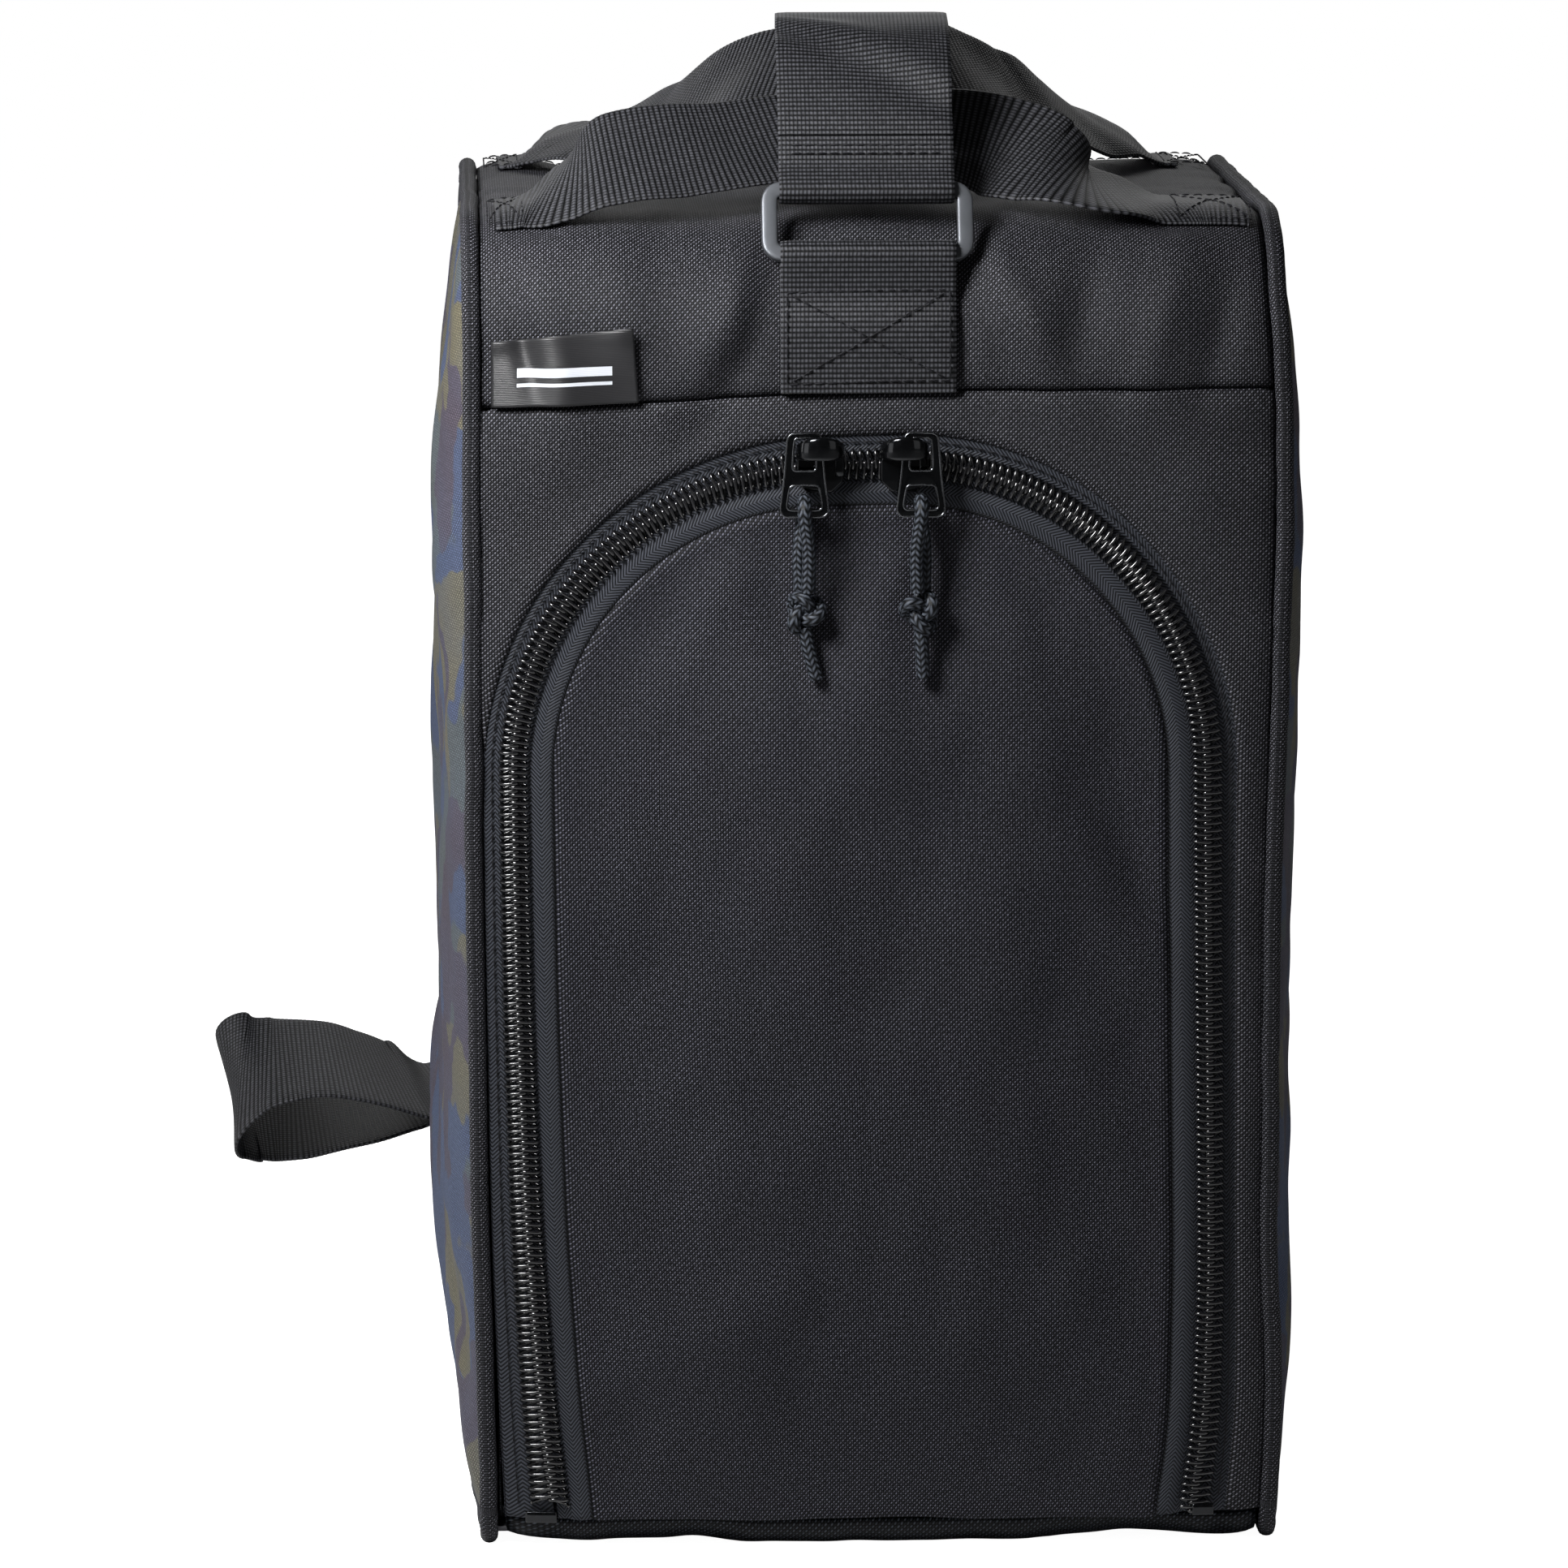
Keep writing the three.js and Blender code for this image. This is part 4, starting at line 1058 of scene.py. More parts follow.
def make_side_panel(name, side):
    """A pillowed cloth side, drawn in at the piping, with soft dents."""
    s = np.linspace(OUTLINE_S[0], OUTLINE_S[-1], 361)[:-1]
    y, z, ny, nz = outline_at(s)
    rim = np.stack([y - ny * 3.6, z - nz * 3.6], -1)
    share = np.linspace(0, 1, 90) ** 0.8
    flat = SIDE_CENTRE + (rim[:, None] - SIDE_CENTRE) * share[None, :, None]
    edge = np.linalg.norm(rim[:, None] - flat, axis=-1)
    high = SIDE_BULGE * (1 - share[None] ** 5) + 2.2 * (1 - np.exp(-edge / 9))
    soft = 2.6 * layered(flat[..., 0] / 60, flat[..., 1] / 75, 21 + side) * smooth_step(0, 45, edge)
    soft = soft + creased(SIDE_CREASES, flat[..., 0] - CREASE_SHIFT * side, flat[..., 1])
    pucker = 0.9 * noise(s[:, None] / 13, 2.0 * side, 23) * np.exp(-edge / 16) * smooth_step(0, 4, edge)
    x = side * (PIPING_X - 0.4 + high + soft + pucker) + piping_wave(s, side)[:, None] * share[None] ** 2
    points = np.stack([x, flat[..., 0], flat[..., 1]], -1)
    quads = grid_quads(len(s), len(share), wrap_rows=True)
    if side < 0:
        quads = quads[:, ::-1]
    piece = weld(mesh_object(name + "_side_cloth", points, quads, flat, mat_camo), 0.05)
    assign(thicken(piece, SIDE_CLOTH), "root", "camo_cloth", name + "_side_panel")


# ---- Webbing ----
RIB_HEIGHT = 0.26
RIB_STEPS = 4


def ribbon_middle(stations, width, columns=13, rib=RIB):
    """Middle surface of a strip along stations of (x, y, z, across x, across y, across z)."""
    fine = resample(curve_through(stations), rib / RIB_STEPS)
    line, across = fine[:, :3], fine[:, 3:]
    along = unit(np.gradient(line, axis=0))
    across = unit(across - (across * along).sum(-1, keepdims=True) * along)
    spread = np.sin(np.linspace(-math.pi / 2, math.pi / 2, columns)) * width / 2
    middle = line[:, None] + across[:, None] * spread[None, :, None]
    uv = np.stack(np.meshgrid(lengths_along(line), spread, indexing="ij"), -1)
    return middle, uv


def faces_of(middle):
    """Unit normals of a grid of points."""
    return unit(np.cross(np.gradient(middle, axis=0), np.gradient(middle, axis=1)))


def webbing_piece(name, middle, uv, rib=RIB, material=mat_webbing):
    """Ribbed webbing round a middle surface, with rounded selvedges."""
    face = faces_of(middle)
    length, spread = uv[..., 0], uv[..., 1]
    half_width = np.abs(spread).max()
    height = np.abs(np.sin(math.pi * length / rib)) ** 0.6 - 0.5
    selvedge = 1 - 0.45 * smooth_step(0.94, 1.0, np.abs(spread) / half_width)
    half = (WEBBING / 2 - RIB_HEIGHT / 2 + RIB_HEIGHT * height) * selvedge
    outer, inner = middle + face * half[..., None], middle - face * half[..., None]
    rows, columns = middle.shape[:2]
    loop = np.concatenate([outer, inner[:, ::-1]], 1)
    loop_uv = np.concatenate([uv, uv[:, ::-1]], 1)
    quads = [grid_quads(rows, 2 * columns, wrap_columns=True)[:, ::-1]]
    for row, turn in ((0, 1), (rows - 1, -1)):
        base = row * 2 * columns
        j = np.arange(columns - 1)
        end = np.stack([base + j, base + j + 1, base + 2 * columns - 2 - j, base + 2 * columns - 1 - j], -1)
        quads.append(end[:, ::turn])
    piece = mesh_object(name, loop, np.concatenate(quads), loop_uv, material)
    return piece


def side_view(route):
    """Stations of strap webbing that runs straight along its side view."""
    return [(STRAP_X, y, z, 1, 0, 0) for y, z in route]


def lean_frame(pivot, lean):
    """A function from a ring's own (y, z) to the bag's, for a ring that leans by an angle in degrees."""
    c, s = math.cos(math.radians(lean)), math.sin(math.radians(lean))
    return lambda y, z: (pivot[1] + y * c - z * s, pivot[2] + y * s + z * c)


# ---- Rings with their tabs and strap ends ----
LAYER_IN = 1.05
LAYER_OUT = LAYER_IN + WEBBING + 0.3
BAR_LOOP = RING_BAR + 0.4 + WEBBING / 2
TAB_FOOT_S = YOKE_Z + 2
FRONT_TAB = (0, 37)  # where the tab starts and where its ring's bar is
BACK_TAB = (22, 60)
FRONT_LEAN = -25
BACK_LEAN = 180 + math.degrees(math.atan2(BASE_BACK_Y - TOP_BACK_Y, HEIGHT))
STRAP_END = RING_HEIGHT + 16
STRAP_STITCH_HALF = 23


def back_surface(s, off):
    """(y, z) at s down the back from where it would meet the top, off above it."""
    length = math.hypot(BASE_BACK_Y - TOP_BACK_Y, HEIGHT)
    sy, sz = (BASE_BACK_Y - TOP_BACK_Y) / length, -HEIGHT / length
    return TOP_BACK_Y + sy * s - sz * off, HEIGHT + sz * s + sy * off


def front_surface(s, off):
    """(y, z) at s up the front from the tab's foot, off above it."""
    y, z, ny, nz = outline_at(TAB_FOOT_S + s)
    return float(y + ny * off), float(z + nz * off)


def tab_route(surface, start, bar):
    """Sewn outer layer, loop round the ring's bar, sewn inner layer."""
    y, z = surface(bar, 6)
    ahead, above = surface(bar + 0.1, 6), surface(bar, 6.1)
    along = unit(np.array([ahead[0] - y, ahead[1] - z]))
    out = unit(np.array([above[0] - y, above[1] - z]))
    loop = []
    for turn in np.radians([-20, 20, 60, 100, 140, 180, 205]):
        c, s = math.cos(turn) * BAR_LOOP, math.sin(turn) * BAR_LOOP
        loop.append((y + out[0] * c + along[0] * s, z + out[1] * c + along[1] * s))
    flat = [start + (bar - 10 - start) * share for share in (0, 0.35, 0.7, 1)]
    outer = [surface(s, LAYER_OUT) for s in flat]
    inner = [surface(s, LAYER_IN) for s in flat[::-1]]
    return outer + loop + inner


def make_tab(name, surface, start, bar):
    """Webbing sewn down from start and looped round its ring's bar at bar."""
    middle, uv = ribbon_middle(side_view(tab_route(surface, start, bar)), STRAP_WIDTH)
    piece = webbing_piece(name + "_tab_webbing", middle, uv)
    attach(piece, "root")
    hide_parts(name + "_ring_tab")


def rounded_rectangle(half_x, half_y, radius, per_corner=10):
    """Points round a rectangle with arcs for corners."""
    points = []
    for cx, cy, start in ((1, -1, -90), (1, 1, 0), (-1, 1, 90), (-1, -1, 180)):
        for turn in np.radians(np.linspace(start, start + 90, per_corner)):
            x = cx * (half_x - radius) + radius * math.cos(turn)
            points.append((x, cy * (half_y - radius) + radius * math.sin(turn)))
    return np.array(points)


def make_ring(name, pivot, lean):
    """A flat-barred rectangular ring, rounded at its edges."""
    to_bag = lean_frame(pivot, lean)
    loop = rounded_rectangle(RING_WIDTH / 2, RING_HEIGHT / 2, RING_CORNER)
    loop = resample(np.array([*loop, loop[0]]), 1.2)[:-1]
    ahead = np.roll(loop, -1, 0) - np.roll(loop, 1, 0)
    normal = unit(np.stack([ahead[:, 1], -ahead[:, 0]], -1))
    turn = np.arange(RING_SIDES) * 2 * math.pi / RING_SIDES
    flat = RING_BAR * squared(np.cos(turn), 0.4)
    deep = RING_HALF_DEPTH * squared(np.sin(turn), 0.4)
    in_plane = loop[:, None] + normal[:, None] * flat[None, :, None]
    y, z = to_bag(np.broadcast_to(deep, in_plane.shape[:2]), in_plane[..., 1] + RING_HEIGHT / 2)
    points = np.stack([in_plane[..., 0] + STRAP_X, y, z], -1)
    quads = grid_quads(len(loop), RING_SIDES, wrap_rows=True, wrap_columns=True)
    piece = mesh_object(name + "_ring_bar", points, quads, None, mat_ring)
    finer = piece.modifiers.new("round", "SUBSURF")
    finer.levels = finer.render_levels = 1
    assign(piece, name + "_ring", "ring_metal", name + "_ring")


def make_strap_end(name, pivot, lean):
    """The strap folded round the ring's far bar and stitched to itself."""
    to_bag = lean_frame(pivot, lean)
    half = (WEBBING + 0.3) / 2
    rise = [STRAP_END, STRAP_END - 5, STRAP_END - 9]
    route = [(-half, z) for z in rise]
    for turn in np.radians([200, 235, 270, 305, 340]):
        route.append((BAR_LOOP * math.cos(turn), RING_HEIGHT + BAR_LOOP * math.sin(turn)))
    route += [(half, z) for z in rise[::-1]]
    middle, uv = ribbon_middle(side_view([to_bag(y, z) for y, z in route]), STRAP_WIDTH)
    piece = webbing_piece(name + "_strap_fold", middle, uv)
    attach(piece, name + "_ring")
    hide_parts(name + "_strap_end")
    x = STRAP_X + np.linspace(-STRAP_STITCH_HALF, STRAP_STITCH_HALF, 60)
    rows = []
    for z in (STRAP_END - 3, STRAP_END - 5.5):
        for face in (-1, 1):
            y_at, z_at = to_bag(face * (half + WEBBING / 2 + 0.1), z)
            up = np.array(to_bag(face, z)) - np.array(to_bag(0, z))
            line = np.stack([x, 0 * x + y_at, 0 * x + z_at], -1)
            rows.append((line, np.tile([0, up[0], up[1]], (len(x), 1))))
    stitch_rows(name + "_strap_end_stitches", rows, name + "_ring", "webbing")


# ---- Shoulder strap ----
def strap_stations():
    """The strap's route as the part's source has it, from the front ring to the back ring."""
    front = lean_frame(joint_mm("front_ring_swing"), FRONT_LEAN)
    back = lean_frame(joint_mm("back_ring_swing"), BACK_LEAN)
    level = (1, 0, 0)
    route = [
        (STRAP_X, front(0, STRAP_END + 0.5), level),
        (STRAP_X, front(0, STRAP_END + 8), level),
        (STRAP_X, (-133, 434.5), level),
        (STRAP_X + 0.8, (-108, 438.6), level),
        (STRAP_X + 2.4, (-70, 437), level),
        (STRAP_X + 4.0, (-30, 430), level),
        (STRAP_X + 4.4, (20, 421), level),
        (2, (62, 405), level),
        (6, back_surface(45, 30), level),
        (8, back_surface(110, 28), level),
        (4, back_surface(190, 24), level),
        (-14, back_surface(258, 24), (1, 0.1, -0.5)),
        (-50, back_surface(300, 24), (0.6, 0.16, -0.8)),
        (-92, (188, 60), (0.1, -0.78, -0.62)),
        (-124, (190, 65), (0, -0.975, -0.22)),
        (-136, (188, 62.5), (0, -0.975, -0.22)),
        (-148, (186, 60), (0, -0.97, -0.25)),
        (-159, (185, 59), (0, -0.95, -0.3)),
        (-171, (184, 58.5), (0.05, -0.92, -0.39)),
        (-181, (183, 59.5), (0.1, -0.88, -0.46)),
        (-189, (180, 62.5), (0.16, -0.84, -0.52)),
        (-193, (172, 69), (0.16, -0.83, -0.54)),
        (-189, (163, 76), (0.13, -0.86, -0.5)),
        (-181, (160, 80.5), (0.08, -0.91, -0.41)),
        (-170, (160, 82), (0.03, -0.94, -0.34)),
        (-160, (161, 81.5), (0, -0.955, -0.3)),
        (-148, (164, 78), (0, -0.97, -0.245)),
        (-136, (169, 73), (0, -0.98, -0.2)),
        (-124, (176, 67.5), (0, -0.99, -0.15)),
        (-92, (180, 70), (0.1, -0.8, -0.6)),
        (-48, back_surface(306, 9), (0.6, 0.16, -0.8)),
        (-14, back_surface(270, 7), (1, 0.1, -0.5)),
        (-2, back_surface(200, 7), level),
        (STRAP_X, back_surface(140, 7), level),
        (STRAP_X, back(0, STRAP_END + 8), level),
        (STRAP_X, back(0, STRAP_END + 0.5), level),
    ]
    return [(x, y, z, *across) for x, (y, z), across in route]


STRAP_FOLD = 1.5  # depth of the soft diagonal fold near the front ring
FRONT_STRAP_RUN = 78
BACK_STRAP_RUN = 70


def make_strap():
    """Three lengths: one running from each ring, left where it is, and the middle one, which rests on the
    bag.
    """
    middle, uv = ribbon_middle(strap_stations(), STRAP_WIDTH)
    length = uv[:, 0, 0]
    face = faces_of(middle)
    off_fold = (uv[..., 0] - 23 + 0.62 * uv[..., 1]) / 1.18
    fold = STRAP_FOLD * (np.exp(-((off_fold / 5) ** 2)) - 0.8 * np.exp(-(((off_fold - 9) / 6) ** 2)))
    fold = fold * smooth_step(0, 10, uv[..., 0]) * (1 - smooth_step(55, 75, uv[..., 0]))
    middle = middle + face * fold[..., None]
    ends = np.searchsorted(length, (FRONT_STRAP_RUN, length[-1] - BACK_STRAP_RUN))
    cuts = (0, *ends, len(length))
    names = ("front_strap_run", "strap_run", "back_strap_run")
    for k, name in enumerate(names):
        rows = slice(cuts[k], min(cuts[k + 1] + 1, len(length)))
        piece = webbing_piece(name, middle[rows], uv[rows])
        if k == 0:
            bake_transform(piece)
        elif k == 2:
            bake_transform(piece)
        else:
            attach(piece, "root")
        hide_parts("shoulder_strap")


# ---- Handles ----
FRONT_HANDLE = [
    (-108, -133, 388, 7),
    (-102, -133, 388, 7),
    (-95, -134.5, 390.5, 12),
    (-86, -140, 394.5, 28),
    (-76, -144, 400.5, 40),
    (-50, -142, 404.5, 36),
    (-2, -132, 408, 33),
    (36, -134, 404.5, 44),
    (50, -141, 399, 38),
    (62, -144, 393.6, 20),
    (76, -139, 390, 10),
    (92, -134, 388.2, 7),
    (108, -134, 388, 7),
]
BACK_HANDLE = [
    (-106, 11, 387.4, 0),
    (-100, 11, 387.5, 0),
    (-93, 9, 392.6, 0),
    (-82, -6, 396, 3),
    (-60, -34, 405, 12),
    (-30, -60, 421, 27),
    (-2, -68, 423.5, 25),
    (26, -62, 423, 27),
    (50, -44, 412.5, 20),
    (76, -6, 398.5, 3),
    (87, 9, 392.6, 0),
    (94, 11, 387.6, 0),
    (100, 11, 387.4, 0),
]
FRONT_HANDLE_FREE = (-98, 80)  # from where to where the handle is off the cloth
BACK_HANDLE_FREE = (-98, 94)


def make_handle(name, route, seat_s, free_from, free_to):
    """Webbing in two halves whose sewn ends lie on the cloth."""
    stations = []
    for x, y, z, tilt in route:
        turn = math.radians(tilt)
        stations.append((x, y, z, 0, math.cos(turn), math.sin(turn)))
    middle, uv = ribbon_middle(stations, HANDLE_WIDTH, rib=HANDLE_RIB)
    x = middle[..., 0]
    seat = on_gusset(np.clip(x, -110, 110), seat_s + uv[..., 1], WEBBING / 2 + 0.35)
    sewn = 1 - smooth_step(free_from - 6, free_from + 8, x) * (1 - smooth_step(free_to - 8, free_to + 6, x))
    cup = 1.2 * np.cos(math.pi * uv[..., 1] / HANDLE_WIDTH) * np.sin(uv[..., 0] / 21 + 1)
    wave = 1.6 * noise(uv[..., 0] / 16, uv[..., 1] / 30, 31)
    free = middle + np.stack([0 * cup, -0.5 * (cup + wave), 0.8 * (cup + wave)], -1)
    middle = free + (seat - free) * sewn[..., None]
    half = len(middle) // 2
    for side, rows in (("left", slice(0, half + 1)), ("right", slice(half, len(middle)))):
        piece = webbing_piece(f"{name}_{side}_webbing", middle[rows], uv[rows], HANDLE_RIB, mat_handle)
        _, y, z = joint_mm(name + "_fold") * MM
        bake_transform(piece)
        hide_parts(name)


def box_stitch_routes(x0, x1, s0, s1):
    """A rectangle with a cross in it."""
    ring = [(x0, s0), (x1, s0), (x1, s1), (x0, s1), (x0, s0)]
    return [ring, [(x0, s0), (x1, s1)], [(x0, s1), (x1, s0)]]


# ---- Label ----
LABEL_X = -109


def make_label():
    """A folded satin label that stands in the yoke seam, a little crooked."""
    u = np.linspace(0, 1, 50)[:, None]
    v = np.linspace(0, 1, 30)[None]
    x = LABEL_X + (40 + 1.6 * (1 - v)) * u + 0 * v
    s = YOKE_Z + 0.8 + (18.2 + 2.2 * u) * v
    curl = 1.3 * np.exp(-((1 - u) ** 2 + (1 - v) ** 2) / 0.02) + 0.9 * np.exp(-(u**2 + (1 - v) ** 2) / 0.03)
    points = on_gusset(x, s, 1.5 + 0.8 * v * np.sin(math.pi * u) + curl)
    uv = np.stack(np.broadcast_arrays(x - LABEL_X, s - YOKE_Z), -1)
    piece = grid_piece("label_cloth", points, uv, mat_label, flip=True, thickness=0.9)
    assign(piece, "root", "label", "brand_label")


# ---- Sliders, pullers and cords ----
def plate_mesh(name, outlines, thickness, bevel, place, material):
    """A plate with holes, rounded at its rims; outlines are in its own (x, z) plane."""
    data = bpy.data.curves.new(name, "CURVE")
    data.dimensions = "2D"
    data.fill_mode = "BOTH"
    data.extrude = (thickness / 2 - bevel) * MM
    data.bevel_depth = bevel * MM
    data.bevel_resolution = 3
    data.offset = -bevel * MM
    for outline in outlines:
        spline = data.splines.new("POLY")
        spline.points.add(len(outline) - 1)
        for point, (x, z) in zip(spline.points, outline):
            point.co = (x * MM, z * MM, 0, 1)
        spline.use_cyclic_u = True
    holder = bpy.data.objects.new(name + "_holder", data)
    bpy.context.scene.collection.objects.link(holder)
    bpy.context.view_layer.update()
    evaluated = holder.evaluated_get(bpy.context.evaluated_depsgraph_get())
    mesh = bpy.data.meshes.new_from_object(evaluated)
    bpy.data.objects.remove(holder)
    mesh.name = name
    for vertex in mesh.vertices:
        x, z, y = vertex.co
        vertex.co = (x + place[0] * MM, -y + place[1] * MM, z + place[2] * MM)
    mesh.materials.clear()
    mesh.materials.append(material)
    piece = bpy.data.objects.new(name, mesh)
    bpy.context.scene.collection.objects.link(piece)
    weld(piece, 0.01)
    for polygon in piece.data.polygons:
        polygon.use_smooth = True
    piece.data.set_sharp_from_angle(angle=math.radians(40))
    return piece


def rounded_polygon(corners, radius, steps=5):
    """Corner points replaced by arcs."""
    corners = np.array(corners, float)
    points = []
    for k, corner in enumerate(corners):
        before = unit(corners[k - 1] - corner)
        after = unit(corners[(k + 1) % len(corners)] - corner)
        half = math.acos(np.clip(before @ after, -1, 1)) / 2
        reach = radius / math.tan(half)
        start, end = corner + before * reach, corner + after * reach
        for t in np.linspace(0, 1, steps):
            points.append((1 - t) ** 2 * start + 2 * t * (1 - t) * corner + t**2 * end)
    return points


def trapezoid(top_half, bottom_half, top, bottom):
    """Corners of a plate that is wider at one end."""
    return [(-bottom_half, bottom), (bottom_half, bottom), (top_half, top), (-top_half, top)]


BAND_SIDES = 12


def band_piece(name, path, half_width, half_depth, across, material):
    """A flat bar with rounded edges along a path; across is the direction of its width."""
    path = np.asarray(path, float)
    along = unit(np.gradient(path, axis=0))
    across = np.broadcast_to(np.asarray(across, float), path.shape)
    up = np.cross(along, across)
    turn = np.arange(BAND_SIDES) * 2 * math.pi / BAND_SIDES
    wide = np.broadcast_to(half_width, len(path))[:, None] * squared(np.cos(turn), 0.5)
    deep = half_depth * squared(np.sin(turn), 0.5)
    rings = path[:, None] + across[:, None] * wide[..., None] + up[:, None] * deep[None, :, None]
    rings = with_ends(rings, path)
    quads = grid_quads(len(rings), BAND_SIDES, wrap_columns=True)
    return weld(mesh_object(name, rings, quads, None, material), 0.001)


SLIDER_PLATE_Y = -4.3
SLIDER_PLATE = [(6.6, 3.2), (3.4, 6.2), (-4.6, 5.4), (-6.5, 3.6)]  # upper half, from nose to tail
PULLER_HANG = 5
PULLER_RISE = 2.2  # how far the plate rides up the crown when it hangs
PLATE_THICKNESS = 1.6


def make_slider(name, side):
    """A plate over the chain with a lip down each side, a crown over it and a stud behind."""
    at = np.array([ZIP_X + side * ZIP_FLAT, FRONT_Y, ZIP_TOP])
    upper = [(-side * x, z) for x, z in SLIDER_PLATE]
    shape = [(x, -z) for x, z in upper[:1]] + upper + [(x, -z) for x, z in upper[:0:-1]]
    top = at + [0, SLIDER_PLATE_Y - 0.7, 0]
    outline = rounded_polygon(shape, 1.3)
    parts = [plate_mesh(name + "_slider_top", [outline], PLATE_THICKNESS, 0.5, top, mat_slider)]
    for height, edge in (("low", -1), ("high", 1)):
        path = [at + [x, -2.6, edge * (6.1 - 0.02 * x * x)] for x in np.linspace(-4.2, 4.2, 9)]
        parts.append(band_piece(f"{name}_slider_lip_{height}", path, 2.1, 0.45, (0, 1, 0), mat_slider))
    turn = np.linspace(0.04, math.pi - 0.04, 28)
    lift = np.sin(turn) ** 0.75
    path = [at + [6.3 * math.cos(t), -5.6 - 7.3 * k, PULLER_HANG + 2 * k] for t, k in zip(turn, lift)]
    parts.append(band_piece(name + "_slider_crown", path, 1.5 + 1.9 * lift, 0.85, (0, 0, 1), mat_slider))
    stud = [at + [5.6, -5.9, z] for z in (-1.5, 0, 2, 4, PULLER_HANG)]
    parts.append(band_piece(name + "_slider_stud", stud, 1.3, 0.9, (1, 0, 0), mat_slider))
    for part in parts:
        assign(part, name + "_slider", "slider_metal", name + "_slider")


def make_puller(name, pivot):
    """The plate with its two holes and a raised rim round each outline, the rim painted light as a
    highlight.
    """
    at = pivot + [0, 0, PULLER_RISE]
    outer = rounded_polygon(trapezoid(4.8, 7.2, 4.4, -20.2), 2.6, 9)
    upper = rounded_polygon(trapezoid(2.7, 3.3, 2.5, -6.5), 1.1)
    lower = rounded_polygon(trapezoid(3.9, 5.0, -11, -17.8), 1.4)
    outlines = (outer, upper, lower)
    parts = [plate_mesh(name + "_puller_plate", outlines, PLATE_THICKNESS, 0.4, at, mat_slider)]
    for k, (outline, grow) in enumerate(zip(outlines, (-0.35, 0.25, 0.25))):
        loop = resample(np.array([*outline, outline[0]]), 0.5)[:-1]
        loop = loop + unit(loop - loop.mean(0)) * grow
        line = np.stack([loop[:, 0], 0 * loop[:, 0] - 0.72, loop[:, 1]], -1) + at
        parts.append(tube_piece(f"{name}_puller_rim_{k}", line, 0.32, 8, (0, 1, 0), mat_painted_rim_highlight, closed=True))
    for part in parts:
        assign(part, name + "_puller", "slider_metal", name + "_puller")


BRAID_SIDES = 32
BRAID_STEP = 0.3
PULLER_BAR_Z = -18.9  # the bar that carries the cord, below the puller's hinge
KNOT_Z = -45
KNOT_CORD = 1.85


def braided_tube(name, line, radius):
    """Cord whose surface has the crossing strands of a braid."""
    line = resample(line, BRAID_STEP)
    along = unit(np.gradient(line, axis=0))
    normal = unit(np.cross(along[0], [0.31, 0.95, 0.11]))
    frames = []
    for tangent in along:
        normal = unit(normal - tangent * (normal @ tangent))
        frames.append(normal)
    first = np.array(frames)
    length = np.arange(len(line)) * BRAID_STEP
    turn = np.arange(BRAID_SIDES) * 2 * math.pi / BRAID_SIDES
    column = turn[None] * BRAID_COLUMNS / (2 * math.pi)
    lean = np.abs((column + 1) % 2 - 1)
    strand = np.abs(np.sin(math.pi * (length[:, None] / BRAID_PITCH + BRAID_LEAN * lean)))
    swollen = radius - 0.12 + 0.26 * strand * np.abs(np.sin(math.pi * column)) ** 0.5
    rings = rings_round(line, first, np.cross(along, first), swollen, BRAID_SIDES)
    rings = with_ends(rings, line)
    u = np.concatenate([length[:1], length, length[-1:]])
    uv = np.stack(np.meshgrid(u, turn * CORD_RADIUS, indexing="ij"), -1)
    quads = grid_quads(len(rings), BRAID_SIDES, wrap_columns=True)
    return weld(mesh_object(name, rings, quads, uv, mat_cord), 0.001)


def cord_route(side):
    """A hairpin round the puller's lower bar, in the puller's own frame."""
    reach, low, bar = 3.6, -39.2, PULLER_BAR_Z + PULLER_RISE
    route = [(-1.0 * side, -2.0, low), (-1.3 * side, -2.6, (low + bar) / 2)]
    for turn in np.radians([180, 150, 120, 90, 60, 30, 0]):
        route.append((0, reach * math.cos(turn), bar + reach * math.sin(turn)))
    route += [(1.3 * side, 2.6, (low + bar) / 2), (1.0 * side, 2.0, low)]
    return route


def knot_loop(side):
    """A closed overhand knot round the origin, turned a little to its side."""
    t = np.linspace(0, 2 * math.pi, 160)
    x = 1.45 * (np.sin(t) + 2 * np.sin(2 * t))
    z = 1.75 * (np.cos(t) - 2 * np.cos(2 * t))
    c, s = math.cos(math.radians(25 * side)), math.sin(math.radians(25 * side))
    return np.stack([x * c - z * s, -2.1 * np.sin(3 * t), x * s + z * c], -1)


def make_pull_cord(name, side, pivot):
    """The cord's loop through the puller, the knot and the tail below it."""
    path = curve_through(np.array(cord_route(side)) + pivot, 12)
    cord = braided_tube(name + "_cord_loop", path, CORD_RADIUS)
    knot = braided_tube(name + "_knot", knot_loop(side) + pivot + [0, 0, KNOT_Z], KNOT_CORD)
    lean = 3.6 if side < 0 else 0.8
    tail_line = curve_through(np.array([(0, 0, -49.5), (lean * 0.3, -0.3, -55), (lean, 0, -64.2)]) + pivot)
    tail = braided_tube(name + "_tail", tail_line, CORD_RADIUS)
    for part, node in ((cord, "_pull_cord"), (knot, "_cord_knot"), (tail, "_cord_tail")):
        assign(part, name + "_cord", "paracord", name + node)


def make_pull(name, side):
    """One slider with its puller and cord."""
    pivot = joint_mm(name + "_puller_swing")
    make_slider(name, side)
    make_puller(name, pivot)
    make_pull_cord(name, side, pivot)


def make_zip_stop(name):
    """A pressed metal clip across the end of the chain."""
    low, high = box_mm(name + "_zip_stop")
    x = np.linspace(low[0] - 0.2, high[0] + 0.2, 12)
    z = np.full_like(x, (low[2] + high[2]) / 2)
    half = (high[2] - low[2]) / 2
    piece = band_piece(name + "_stop_clip", on_gusset(x, z, 2.6), half, 0.7, (0, 0, 1), mat_slider)
    assign(piece, "root", "slider_metal", name + "_zip_stop")


